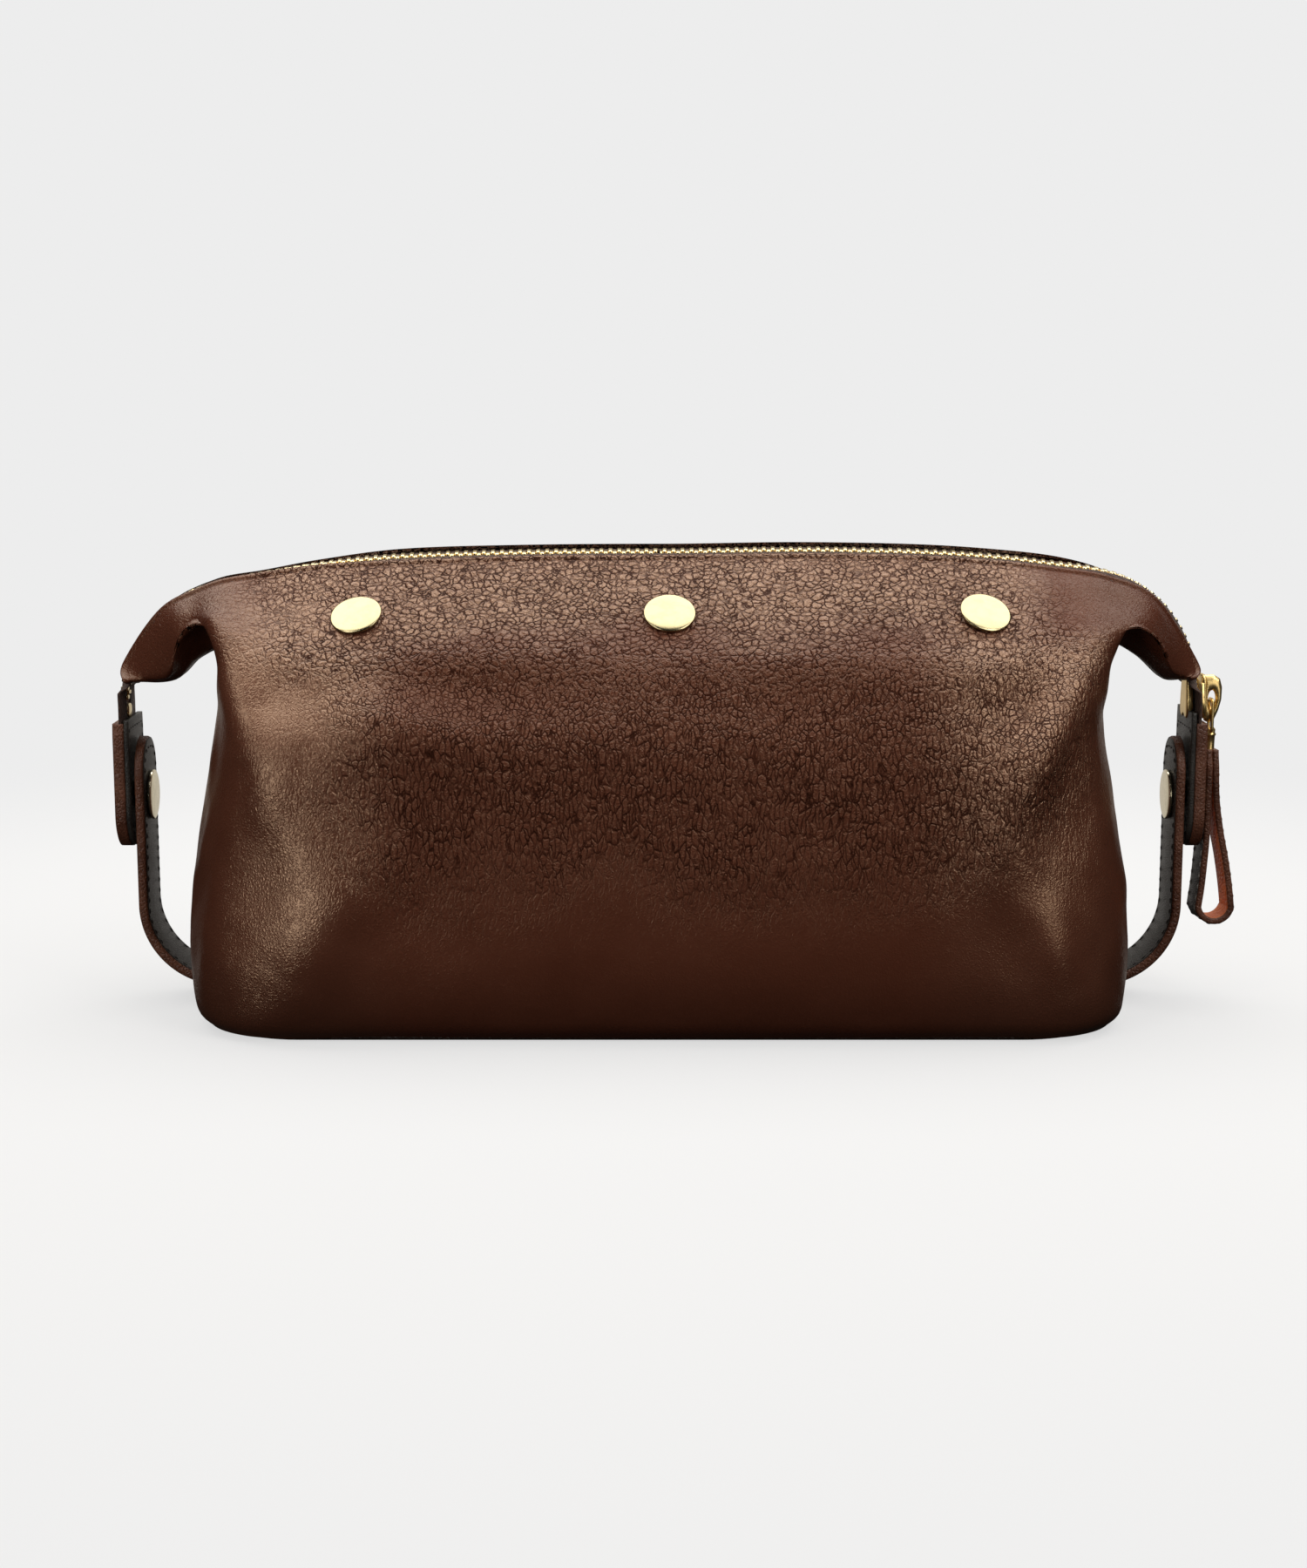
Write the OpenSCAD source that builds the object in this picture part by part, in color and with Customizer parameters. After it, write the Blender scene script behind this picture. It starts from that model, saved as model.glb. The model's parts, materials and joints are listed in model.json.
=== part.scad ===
// Zipped leather wash bag. +X is the width, the front faces -Y, +Z is up.
// The origin is the middle of the base, on the surface the bag stands on.

/* [Bag body] */
// Half of the widest width, low on the end walls
half_w = 134; // [128:1:140]
// Half of the largest depth, front to back
half_d = 58.5; // [55:0.5:62]
// Thickness of the leather walls
wall_t = 2; // [1.6:0.1:2.2]
// Thickness of the base leather
base_t = 2; // [1.6:0.1:2.4]

/* [Zip] */
// Where the straight run of the zip ends and each ear begins
shoulder_x = 118; // [116:1:120]
// Height of the zip at the shoulders
zip_z = 131; // [129:1:133]
// How much higher the zip is in the middle
crown = 3.5; // [2:0.5:4]
// Radius of the bend that each ear makes
ear_r = 40; // [39:0.5:41]
// Half width of one row of teeth, out from the middle line
teeth_out = 2.7; // [2.4:0.1:2.8]
// Half thickness of the teeth
teeth_h = 1.1; // [0.9:0.1:1.2]
// Thickness of the tape
tape_t = 0.7; // [0.5:0.1:0.8]

/* [Straps and tabs] */
// Width of each side strap
strap_w = 20; // [18:0.5:21]
// Thickness of each side strap, both layers
strap_t = 2.8; // [2.4:0.2:3]
// Height of the rounded top of each strap
strap_top = 79; // [77:0.5:80]
// Radius of the outside of the strap's bend
strap_bend = 24.6; // [24:0.2:25]
// Width of each end tab
tab_w = 22; // [20:1:23]
// Height of each tab's rounded bottom
tab_low = 46; // [44:1:48]
// Height of the snap fastener
snap_z = 61.5; // [60:0.5:63]

/* [Caps] */
// Radius of every snap cap
cap_r = 7.5; // [6.5:0.25:8]
// Distance between the three front caps
cap_pitch = 89.6; // [85:0.2:92]
// How far the row of caps sits to the right of the middle
cap_shift = 2.6; // [0:0.2:3]

/* [Pull] */
// Width of the leather pull loop
pull_w = 9; // [7:0.5:10]
// Radius of the wire link
wire_r = 0.5; // [0.4:0.05:0.55]

/* [Hidden] */

$fn = 48;
leather = "#4a281c";
dark_leather = "#2a1d1a";
cloth = "#3a2a22";
brass = "#d9b65c";
big = 400;              // longer than the bag, for cutting
gap = 0.3;              // between neighbours that don't touch
lip_y = 5.6;            // the leather lips start this far from the zip's middle
teeth_in = 0.8;         // each row of teeth stays this far from the middle line
roof_tilt = 39;         // slope of the panels where the caps sit
cap_y = 26;
cap_z = 117.4;
cap_h = 1.3;
ear_cz = zip_z - ear_r; // height of the middle of the ears' bend
tip_x = shoulder_x + ear_r;
tape_w = 10.5;          // half width of the bare tape
tape_low = 70;          // lower end of the tape, inside the tabs
wide_a = 75;            // past this angle of the bend the tape reaches the ears' leather
leaf_y = 6.8;           // the ears' leather starts this far from the middle line
leaf_gap_x = 128;       // the ears' leather starts here
body_end_x = 127;       // the panels end here above the end walls
bare_a = 13;            // the bare tape starts at this angle of the bend
tab_top = 84;
tape_slot = 0.8;        // room for the tape between the two layers of a tab
tab_in = 155.5;         // inner face of the tabs
tab_out = 160.3;        // outer face of the tabs
strap_x = 154.6;        // outer face of the straps
bend_x = strap_x - strap_bend;
bend_z = strap_bend + 5;
foot_a = 75;            // the strap's bend stops at this angle, next to the base
layer = strap_t / 2;
stud_r = 1.75;
stud_len = 1.9;
flange_r = 4;
flange_t = 0.55;
socket_r = 4.5;
socket_bore = 2.8;
post_r = 1.2;
spring_r = 0.2;
plate_in = 1.9;         // the slider's plates start this far from the tape's middle
plate_t = 1;
slider_w = 5;
slider_z = [84.7, 97.6];
link_x = 163.3;
link_top = 90;
link_low = 80.5;
link_y = 2.3;
pull_top = 74;
rivet_z = 63;
bail_r = 5.6;
bail_y = 1.2;           // half thickness of the bail
eye_r = 1.3;
loop_bottom = [165.4, 28.4]; // middle of the pull's rounded end, (x, z)
loop_r = 5.8;
loop_hole_r = 3.8;
stop_h = 1.2;           // half thickness of the zip's stops
stop_y = 1.6;           // the top stops start this far from the middle line
stop_z = [81.3, 83.7];

// Points of an arc about c, radius r, from angle a0 to a1 in n steps
function arc(c, r, a0, a1, n) =
  [for (i = [0:n]) let (a = a0 + (a1 - a0) * i / n) [c[0] + r * cos(a), c[1] + r * sin(a)]];
function flip(pts) = [for (i = [len(pts) - 1:-1:0]) pts[i]];
function mirrored(pts) = concat(pts, [for (p = flip(pts)) [-p[0], p[1]]]);

// Height of the zip's middle line along the straight run
function zip_at(x) = zip_z + crown * (1 - pow(x / shoulder_x, 2));

// Half outlines of the body, pulled in by t on every side
body_h = zip_z + crown + 1.5;
function shrink(pts, half, t) =
  [for (p = pts) [p[0] * (half - t) / half, t + p[1] * (body_h - 2 * t) / body_h]];
end_half = [[half_w - 4, 0], [half_w - 1, 5], [half_w, 15], [half_w, 28], [133, 40], [131, 55],
  [128.5, 70], [127, 85], [126.7, 100], [127, 112], [body_end_x, 126]];
top_half = [for (x = [shoulder_x:-29.5:0]) [x, zip_at(x) + 1.5]];
side_half = [[half_d - 5.5, 0], [half_d - 3.5, 3], [half_d - 0.5, 14], [half_d, 30],
  [57.5, 50], [55, 68], [51, 84], [45, 96.5], [38, 106.5], [30, 114], [6, 133.2], [0, body_h]];

module face_out(pts, half, t) {
  rotate([90, 0, 0])
    linear_extrude(height = 2 * half, center = true) polygon(mirrored(shrink(pts, half_w, t)));
}

module bulk(t) {
  intersection() {
    face_out(concat(end_half, top_half), half_d + 1, t);
    rotate([90, 0, 90])
      linear_extrude(height = 2 * half_w + 2, center = true)
        polygon(mirrored(shrink(side_half, half_d, t)));
    linear_extrude(height = big) rounded_plan(half_w + 1 - t, half_d + 1 - t, 34 - t);
  }
}

module rounded_plan(hx, hy, r) {
  square([2 * hx, 2 * (hy - r)], center = true);
  square([2 * (hx - r), 2 * hy], center = true);
  for (sx = [-1, 1], sy = [-1, 1]) translate([sx * (hx - r), sy * (hy - r)]) circle(r);
}

// Half shell between two depths inside the outer form, on the side of y
module half_shell(side, t_out, t_in, z_low) {
  difference() {
    intersection() {
      bulk(t_out);
      translate([-big / 2, side > 0 ? gap / 2 : -big / 2 - gap / 2, z_low])
        cube([big, big / 2, big]);
    }
    bulk(t_in);
    translate([-big / 2, -lip_y, ear_cz + 15]) cube([big, 2 * lip_y, big]);
    translate([-big / 2, -big / 2, -big / 2]) cube([big, big, big / 2 + z_low]);
  }
}

// Places its children on the front roof at each cap
module at_caps() {
  for (i = [-1:1])
    translate([cap_shift + i * cap_pitch, -cap_y, cap_z]) rotate([roof_tilt, 0, 0]) children();
}

// A low dome, flat side down
module dome(r, h) {
  rotate_extrude() polygon([[0, 0], [r, 0], [r, h * 0.35], [r * 0.88, h * 0.72],
    [r * 0.6, h * 0.92], [0, h]]);
}

// Ribbon in the XZ plane between radii about the zip line, out to y0..y1
module ribbon(pts, y0, y1) {
  translate([0, y0, 0]) mirror([0, 1, 0]) rotate([90, 0, 0])
    linear_extrude(height = y1 - y0) polygon(pts);
}

function straight_band(h) = concat(
  [for (x = [-shoulder_x:14.75:shoulder_x]) [x, zip_at(x) + h]],
  [for (x = [shoulder_x:-14.75:-shoulder_x]) [x, zip_at(x) - h]]);
function bend_band(h, a0, a1) = concat(
  arc([shoulder_x, ear_cz], ear_r + h, a0, a1, 18),
  arc([shoulder_x, ear_cz], ear_r - h, a1, a0, 18));
bend_start = 89.5;      // the ears' zip starts just past the shoulder

// A closed solid through rings of points that all have the same number of points
module loft(rings) {
  n = len(rings[0]);
  m = len(rings);
  pts = [for (r = rings) each r];
  sides = [for (j = [0:m - 2], i = [0:n - 1])
    let (k = (i + 1) % n) [j * n + i, j * n + k, (j + 1) * n + k, (j + 1) * n + i]];
  polyhedron(pts, concat(sides, [[for (i = [n - 1:-1:0]) i]],
    [[for (i = [0:n - 1]) (m - 1) * n + i]]), convexity = 4);
}

// One leaf of the right ear: a sloping sheet over a fold, from the shoulder to the tip
leaf_stops = [[72, 26], [60, 24], [46, 20], [33, 16.5], [23, 14], [16, 12]];
function leaf_ring(a, w) =
  let (top = ear_r + 0.8, low = top - (w - leaf_y) * 0.85)
  [for (q = [[top, leaf_y], [low + 1, w], [low - 1, w - 1.5], [low + 1.5, leaf_y]])
    [shoulder_x + q[0] * cos(a), -q[1], ear_cz + q[0] * sin(a)]];
module leaf() {
  color(leather) intersection() {
    loft([for (s = leaf_stops) leaf_ring(s[0], s[1])]);
    translate([leaf_gap_x, -big / 2, 0]) cube(big);
  }
}

module ear_tape() {
  color(cloth) {
    ribbon(bend_band(tape_t / 2, bend_start, 0), -lip_y + gap, -teeth_out);
    ribbon(bend_band(tape_t / 2, wide_a, 0), -leaf_y + gap, -lip_y + gap);
    ribbon(bend_band(tape_t / 2, bare_a, 0), -tape_w, -leaf_y + gap);
    translate([tip_x - tape_t / 2, -tape_w, tape_low])
      cube([tape_t, tape_w - teeth_out, ear_cz - tape_low]);
  }
}

module ear_teeth(low_a) {
  color(brass) ribbon(bend_band(teeth_h, bend_start, low_a), -teeth_out, -teeth_in);
}

// Rounded plate in the YZ plane, thickness along X
module tab_plate(x0, x1) {
  intersection() {
    translate([x0, -tab_w / 2, tab_low]) cube([x1 - x0, tab_w, tab_top - tab_low]);
    union() {
      translate([x0, 0, tab_low + tab_w / 2]) rotate([0, 90, 0]) cylinder(r = tab_w / 2, h = x1 - x0);
      translate([x0, -tab_w / 2, tab_low + tab_w / 2]) cube([x1 - x0, tab_w, big]);
    }
  }
}

module snap_hole(x0, x1, r) {
  translate([x0, 0, snap_z]) rotate([0, 90, 0]) cylinder(r = r, h = x1 - x0);
}

module tab_outer() {
  color(leather) difference() {
    tab_plate(tip_x + tape_slot / 2, tab_out);
    snap_hole(tip_x - 1, tab_out + 1, post_r);
  }
}

module tab_inner() {
  color(dark_leather) difference() {
    union() {
      tab_plate(tab_in, tip_x - tape_slot / 2);
      intersection() {
        tab_plate(tip_x - tape_slot / 2, tip_x + tape_slot / 2);
        translate([0, -tab_w, 0]) cube([big, 2 * tab_w, tape_low - gap]);
      }
    }
    snap_hole(tab_in - 1, tip_x + 1, post_r);
  }
}

// Stud, its flange, the post through the tab and the low cap outside
module tab_stud() {
  color(brass) {
    snap_hole(tab_in - stud_len, tab_in, stud_r);
    snap_hole(tab_in - flange_t, tab_in, flange_r);
    snap_hole(tab_in - 0.1, tab_out + 0.1, post_r);
    translate([tab_out, 0, snap_z]) rotate([0, 90, 0]) dome(6, 0.9);
  }
}

// One layer of the right strap, from radius r0 to r1 of its bend
module strap_layer(r0, r1, holes) {
  x0 = bend_x + r0;
  x1 = bend_x + r1;
  difference() {
    intersection() {
      ribbon(concat([[x1, strap_top], [x1, bend_z]], arc([bend_x, bend_z], r1, 0, -foot_a, 20),
        arc([bend_x, bend_z], r0, -foot_a, 0, 20), [[x0, strap_top]]), -strap_w / 2, strap_w / 2);
      union() {
        snap_end(x0, x1);
        translate([0, -strap_w / 2, 0]) cube([big, strap_w, strap_top - strap_w / 2]);
      }
    }
    snap_hole(x0 - 1, x1 + 1, holes);
  }
}

module snap_end(x0, x1) {
  translate([x0, 0, strap_top - strap_w / 2]) rotate([0, 90, 0])
    cylinder(r = strap_w / 2, h = x1 - x0);
}

module strap_leather() color(leather) strap_layer(strap_bend - layer, strap_bend, socket_r);
module strap_lining() color(dark_leather) strap_layer(strap_bend - strap_t, strap_bend - layer, post_r);

module strap_cap() {
  color(brass) {
    translate([strap_x - strap_t, 0, snap_z]) rotate([0, -90, 0]) dome(cap_r, cap_h);
    snap_hole(strap_x - strap_t - 0.1, strap_x - layer, post_r);
  }
}

module strap_socket() {
  color(brass) difference() {
    snap_hole(strap_x - layer, strap_x, socket_r);
    snap_hole(strap_x - layer + gap, strap_x + 1, socket_bore);
  }
}

// Two spring wires that grip the stud's neck, one on each side
module snap_springs() {
  wire_y = stud_r + spring_r + 0.1;
  half = sqrt(pow(socket_bore, 2) - pow(wire_y + spring_r, 2)) - 0.05;
  color(brass) for (s = [-1, 1])
    translate([strap_x - 0.6, s * wire_y, snap_z - half]) cylinder(r = spring_r, h = 2 * half);
}

module slider_plate(x0, x1, rim0, rim1) {
  difference() {
    union() {
      translate([x0, -slider_w, slider_z[0]])
        cube([x1 - x0, 2 * slider_w, slider_z[1] - slider_z[0]]);
      for (s = [-1, 1])
        translate([rim0, s * (slider_w - 0.4) - 0.4, slider_z[0]])
          cube([rim1 - rim0, 0.8, slider_z[1] - slider_z[0] - 3]);
    }
    for (s = [-1, 1])
      translate([x0 - 2, s * slider_w, slider_z[1]]) rotate([45, 0, 0])
        translate([0, -1.6, -1.6]) cube([x1 - x0 + 4, 3.2, 3.2]);
  }
}

module slider_body() {
  color(brass) {
    slider_plate(tip_x + plate_in, tip_x + plate_in + plate_t,
      tip_x + plate_in - 0.6, tip_x + plate_in + 0.1);
    slider_plate(tip_x - plate_in - plate_t, tip_x - plate_in,
      tip_x - plate_in - 0.1, tip_x - plate_in + 0.6);
    translate([tip_x - plate_in - 0.1, -0.55, slider_z[0]]) cube([2 * plate_in + 0.2, 1.1, 4]);
  }
}

module slider_bail() {
  face = tip_x + plate_in + plate_t;
  color(brass) difference() {
    intersection() {
      translate([face - 0.9, bail_y, ear_cz]) rotate([90, 0, 0]) cylinder(r = bail_r, h = 2 * bail_y);
      translate([face, -big / 2, 0]) cube(big);
    }
    translate([link_x, 2 * bail_y, link_top + 0.4]) rotate([90, 0, 0])
      cylinder(r = eye_r, h = 4 * bail_y);
  }
}

// A bent wire ring that stands across the slider's eye
module pull_link() {
  color(brass) {
    for (z = [link_low, link_top])
      translate([link_x, link_y, z]) rotate([90, 0, 0]) cylinder(r = wire_r, h = 2 * link_y, $fn = 32);
    for (s = [-1, 1]) {
      translate([link_x, s * link_y, link_low]) cylinder(r = wire_r, h = link_top - link_low, $fn = 32);
      for (z = [link_low, link_top]) translate([link_x, s * link_y, z]) sphere(wire_r, $fn = 32);
    }
  }
}

module pull_ferrule() {
  color(brass) difference() {
    translate([link_x, 0, pull_top]) rotate_extrude()
      polygon([[0, 0], [1.35, 0], [1.5, 5.4], [1.65, 5.8], [1.65, 7.2], [1.3, 7.7], [0, 7.7]]);
    translate([link_x, 5, link_low]) rotate([90, 0, 0]) cylinder(r = wire_r + 0.08, h = 10);
  }
}

// The folded leather loop: two legs together above a drop-shaped gap
module pull_loop() {
  color(leather) difference() {
    ribbon(concat([[link_x - 2.1, pull_top], [link_x - 2, 48]], arc(loop_bottom, loop_r, 180, 365, 20),
      [[link_x + 3.6, 50], [link_x + 2.1, pull_top]]), -pull_w / 2, pull_w / 2);
    ribbon(concat([[link_x, 54]], arc(loop_bottom, loop_hole_r, 180, 365, 16)), -pull_w, pull_w);
    pull_pin();
  }
}

module pull_pin() {
  translate([link_x - 1.2, 0, rivet_z]) rotate([0, 90, 0]) cylinder(r = 1, h = 4.6);
}

module pull_rivet() color(brass) {
  pull_pin();
  translate([link_x + 3.1, 0, rivet_z]) rotate([0, 90, 0]) cylinder(r = 1.7, h = 0.6);
}

// A box for each top stop, grown by over; the stops clamp the edges of the tape
module stop_boxes(over) {
  for (s = [-1, 1])
    translate([tip_x - stop_h - over, s * (stop_y + 0.8) - 0.8 - over, stop_z[0] - over])
      cube([2 * (stop_h + over), 1.6 + 2 * over, stop_z[1] - stop_z[0] + 2 * over]);
}

module top_stops() {
  color(brass) difference() {
    stop_boxes(0);
    for (s = [-1, 1])
      translate([tip_x - tape_slot / 2, s * (teeth_out - 0.1) + (s < 0 ? -2 : 0), 0])
        cube([tape_slot, 2, big]);
  }
}

// Room for the stops in the upper edge of a tab
module stop_room() {
  stop_boxes(0.1);
  translate([0, 0, 0.5]) stop_boxes(0.1);
}

module bottom_stop() {
  color(brass) translate([tip_x - stop_h, -2.6, tab_top + 0.4]) cube([2 * stop_h, 5.2, 4.4]);
}

module on_left() mirror([1, 0, 0]) children();
module at_back() mirror([0, 1, 0]) children();

color(leather) difference() {  // front_panel
    half_shell(-1, 0, wall_t, base_t);
    at_caps() translate([0, 0, -8]) cylinder(r = post_r, h = 16);
  }
color(leather) half_shell(1, 0, wall_t, base_t);  // back_panel
color(dark_leather) linear_extrude(height = base_t) rounded_plan(half_w - 5, half_d - 6, 27);  // base_panel
color(cloth) difference() {  // front_lining
    half_shell(-1, wall_t + gap, wall_t + 1, base_t + 1);
    at_caps() translate([0, 0, -8]) cylinder(r = post_r, h = 16);
  }
color(cloth) half_shell(1, wall_t + gap, wall_t + 1, base_t + 1);  // back_lining
color("gray") translate([0, 0, base_t + 0.1]) linear_extrude(height = 1.6)  // base_board
    rounded_plan(half_w - 9, half_d - 10, 24);
color(cloth) translate([0, 0, base_t + 1.8]) linear_extrude(height = 0.6)  // base_lining
    rounded_plan(half_w - 9, half_d - 10, 24);
color(cloth) ribbon(straight_band(tape_t / 2), -lip_y + gap, -teeth_out);  // zip_tape_front
color(cloth) at_back() ribbon(straight_band(tape_t / 2), -lip_y + gap, -teeth_out);  // zip_tape_back
color(brass) ribbon(straight_band(teeth_h), -teeth_out, -teeth_in);  // zip_teeth_front
color(brass) at_back() ribbon(straight_band(teeth_h), -teeth_out, -teeth_in);  // zip_teeth_back
color(brass) at_caps() {  // front_snap_caps
    dome(cap_r, cap_h);
    translate([0, 0, -3.6]) cylinder(r = post_r, h = 3.7);
  }
color(brass) at_caps() translate([0, 0, -4.8]) cylinder(r = 5.5, h = 1.2);  // front_snap_backs

on_left() leaf();  // left_ear_front_leaf
on_left() at_back() leaf();  // left_ear_back_leaf
on_left() ear_tape();  // left_tape_front
on_left() at_back() ear_tape();  // left_tape_back
on_left() ear_teeth(0);  // left_teeth_front
on_left() at_back() ear_teeth(0);  // left_teeth_back
on_left() bottom_stop();  // left_bottom_stop
on_left() tab_outer();  // left_tab_outer
on_left() tab_inner();  // left_tab_inner
on_left() tab_stud();  // left_tab_stud

leaf();  // right_ear_front_leaf
at_back() leaf();  // right_ear_back_leaf
ear_tape();  // right_tape_front
at_back() ear_tape();  // right_tape_back
ear_teeth(0);  // right_teeth_front
at_back() ear_teeth(0);  // right_teeth_back
top_stops();  // right_top_stops
color(leather) difference() { tab_outer(); stop_room(); }  // right_tab_outer
color(dark_leather) difference() { tab_inner(); stop_room(); }  // right_tab_inner
tab_stud();  // right_tab_stud

slider_body();
slider_bail();
pull_link();
pull_ferrule();
pull_loop();
pull_rivet();

on_left() strap_leather();  // left_strap_leather
on_left() strap_lining();  // left_strap_lining
on_left() strap_cap();  // left_strap_cap
on_left() strap_socket();  // left_strap_socket
on_left() snap_springs();  // left_snap_springs
strap_leather();  // right_strap_leather
strap_lining();  // right_strap_lining
strap_cap();  // right_strap_cap
strap_socket();  // right_strap_socket
snap_springs();  // right_snap_springs
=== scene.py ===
"""Looks of a zipped leather wash bag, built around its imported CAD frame.

Lengths are millimetres, turned into metres where a mesh is made. +X runs along the zip to the slider's end,
and the front faces -Y."""
import json
import math

import bpy
import numpy as np
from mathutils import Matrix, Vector


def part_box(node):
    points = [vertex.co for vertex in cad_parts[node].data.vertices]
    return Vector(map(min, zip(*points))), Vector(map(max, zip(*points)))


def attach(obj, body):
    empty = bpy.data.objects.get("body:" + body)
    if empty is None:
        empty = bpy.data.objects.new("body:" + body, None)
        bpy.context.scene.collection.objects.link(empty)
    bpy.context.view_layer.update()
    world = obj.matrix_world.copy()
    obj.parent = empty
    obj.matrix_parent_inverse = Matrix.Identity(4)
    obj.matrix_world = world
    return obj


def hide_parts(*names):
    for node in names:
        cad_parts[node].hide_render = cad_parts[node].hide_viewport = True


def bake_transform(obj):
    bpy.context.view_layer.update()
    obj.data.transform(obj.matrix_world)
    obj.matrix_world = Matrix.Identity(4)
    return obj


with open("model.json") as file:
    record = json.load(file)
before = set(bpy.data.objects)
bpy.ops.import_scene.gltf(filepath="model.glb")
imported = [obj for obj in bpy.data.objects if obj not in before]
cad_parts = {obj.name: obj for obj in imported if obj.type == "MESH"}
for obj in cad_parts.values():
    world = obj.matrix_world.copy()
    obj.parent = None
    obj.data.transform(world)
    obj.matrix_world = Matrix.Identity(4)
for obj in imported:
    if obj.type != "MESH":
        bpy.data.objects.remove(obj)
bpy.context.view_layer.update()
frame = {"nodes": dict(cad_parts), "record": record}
MM = 0.001
NODES = frame["nodes"]


def node_box(name):
    """Lowest and highest corner of a CAD node in millimetres."""
    lo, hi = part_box(name)
    return np.array(lo) / MM, np.array(hi) / MM


# Driving places, read from the frame
TAB_LO, TAB_HI = node_box("right_tab_outer")
TAB_IN_LO, _ = node_box("right_tab_inner")
_, STRAP_HI = node_box("right_strap_leather")
SOCKET_LO, SOCKET_HI = node_box("right_strap_socket")
LOOP_LO, LOOP_HI = node_box("pull_loop")
LINK_LO, LINK_HI = node_box("pull_link")
BAIL_LO, _ = node_box("slider_bail")
SLIDER_LO, SLIDER_HI = node_box("slider_body")

SNAP_Z = (SOCKET_LO[2] + SOCKET_HI[2]) / 2
TIP_X = 158.0               # middle of the tape at both ends
EYE_Z = LINK_HI[2] - 0.2    # height of the eye in the slider's bail
TOOTH_PITCH = 2.65
SPLIT_X = 100.0             # zip pieces are split here, before the ears' fold begins
LOOP_TURN = 0.10            # the hanging loop turns this much to the front, x for each y
TAPE_CUT_Z = 86.0           # below this the tape lies in the tab and moves with it alone


# ---------------------------------------------------------------- camera, floor, light

CAMERA_PLACE = (-0.0019, -0.720, 0.185)
CAMERA_DOWN = 9.5                       # degrees
BACKDROP_GREY = 0.847                   # radiance of the backdrop and of the floor far from the bag
FLOOR_GLOW, FLOOR_DULL = 0.632, 0.20    # near the bag: the floor's own radiance, and its matt grey
FLOOR_FADE = (0.20, 0.55)               # metres from the bag, where the near floor turns to the far one

# name, place, target, size, radiance, tint, seen in reflections, lights matt surfaces
LIGHTS = (
    ("top_light", (0.0, 0.34, 1.0), (0, 0.34, 0.1), (1.8, 1.0), 3.6, (1, 0.975, 0.93), True, True),
    ("front_fill", (0.0, -1.5, 0.75), (0, 0, 0.06), (1.8, 1.0), 0.72, (1, 1, 1), False, True),
    ("left_light", (-0.85, -1.05, 0.24), (0, 0, 0.06), (0.50, 0.50), 4.2, (1, 0.97, 0.93), True, True),
    ("left_high_light", (-0.66, -0.60, 1.02), (-0.1, 0, 0.08), (0.42, 0.60), 3.0, (1, 0.97, 0.93), True, True),
    ("right_light", (0.70, -0.62, 0.96), (0.1, 0, 0.08), (0.50, 0.80), 4.6, (1, 0.97, 0.93), True, True),
    ("back_card", (0.0, 1.2, 0.2), (0, 0, 0.1), (2.4, 1.1), 0.52, (1, 0.95, 0.88), True, True),
    ("metal_card", (0.275, -0.26, 0.12), (0.163, 0, 0.088), (0.12, 0.15), 1.8, (1, 0.96, 0.88), True, False),
)


def add_camera(scene):
    data = bpy.data.cameras.new("camera")
    data.sensor_width = 36.0
    data.lens = 56.24
    camera = bpy.data.objects.new("camera", data)
    camera.location = CAMERA_PLACE
    camera.rotation_euler = (math.radians(90 - CAMERA_DOWN), 0, 0)
    scene.collection.objects.link(camera)
    scene.camera = camera


def add_world(scene):
    world = bpy.data.worlds.new("studio")
    world.use_nodes = True
    background = world.node_tree.nodes["Background"]
    background.inputs["Color"].default_value = (1.0, 0.92, 0.85, 1)
    background.inputs["Strength"].default_value = 0.012
    scene.world = world


def feed(tree, node, inputs):
    """Sets a node's inputs, each to a value or to another node's output."""
    for socket, value in inputs.items():
        if isinstance(value, bpy.types.NodeSocket):
            tree.links.new(value, node.inputs[socket])
        else:
            node.inputs[socket].default_value = value


def add_node(tree, kind, out, inputs, **settings):
    """A new node with its settings and inputs. Returns the output asked for."""
    made = tree.nodes.new(kind)
    for key, value in settings.items():
        setattr(made, key, value)
    feed(tree, made, inputs)
    return made.outputs[out]


def grey_shader(tree, kind, level):
    return add_node(tree, kind, 0, {"Color": (level, level, level, 1)})


def backdrop_surface(tree):
    return grey_shader(tree, "ShaderNodeEmission", BACKDROP_GREY)


def floor_surface(tree):
    """Near the bag the floor glows and takes its shadow, and further off it has the backdrop's grey."""
    place = add_node(tree, "ShaderNodeTexCoord", "Object", {})
    length = add_node(tree, "ShaderNodeVectorMath", "Value", {0: place}, operation="LENGTH")
    fade = {"Value": length, "From Min": FLOOR_FADE[0], "From Max": FLOOR_FADE[1]}
    far = add_node(tree, "ShaderNodeMapRange", "Result", fade, interpolation_type="SMOOTHSTEP")
    glow = grey_shader(tree, "ShaderNodeEmission", FLOOR_GLOW)
    matt = grey_shader(tree, "ShaderNodeBsdfDiffuse", FLOOR_DULL)
    near = add_node(tree, "ShaderNodeAddShader", 0, {0: glow, 1: matt})
    return add_node(tree, "ShaderNodeMixShader", 0, {0: far, 1: near, 2: backdrop_surface(tree)})


def dress_scenery(name, surface):
    """Names and paints the scenery just added, which only the camera sees."""
    scenery = bpy.context.object
    scenery.name = name
    material = bpy.data.materials.new(name)
    material.use_nodes = True
    tree = material.node_tree
    tree.nodes.clear()
    feed(tree, tree.nodes.new("ShaderNodeOutputMaterial"), {"Surface": surface(tree)})
    scenery.data.materials.append(material)
    scenery.visible_diffuse = False
    scenery.visible_glossy = False
    scenery.visible_shadow = False
    return scenery


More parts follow.
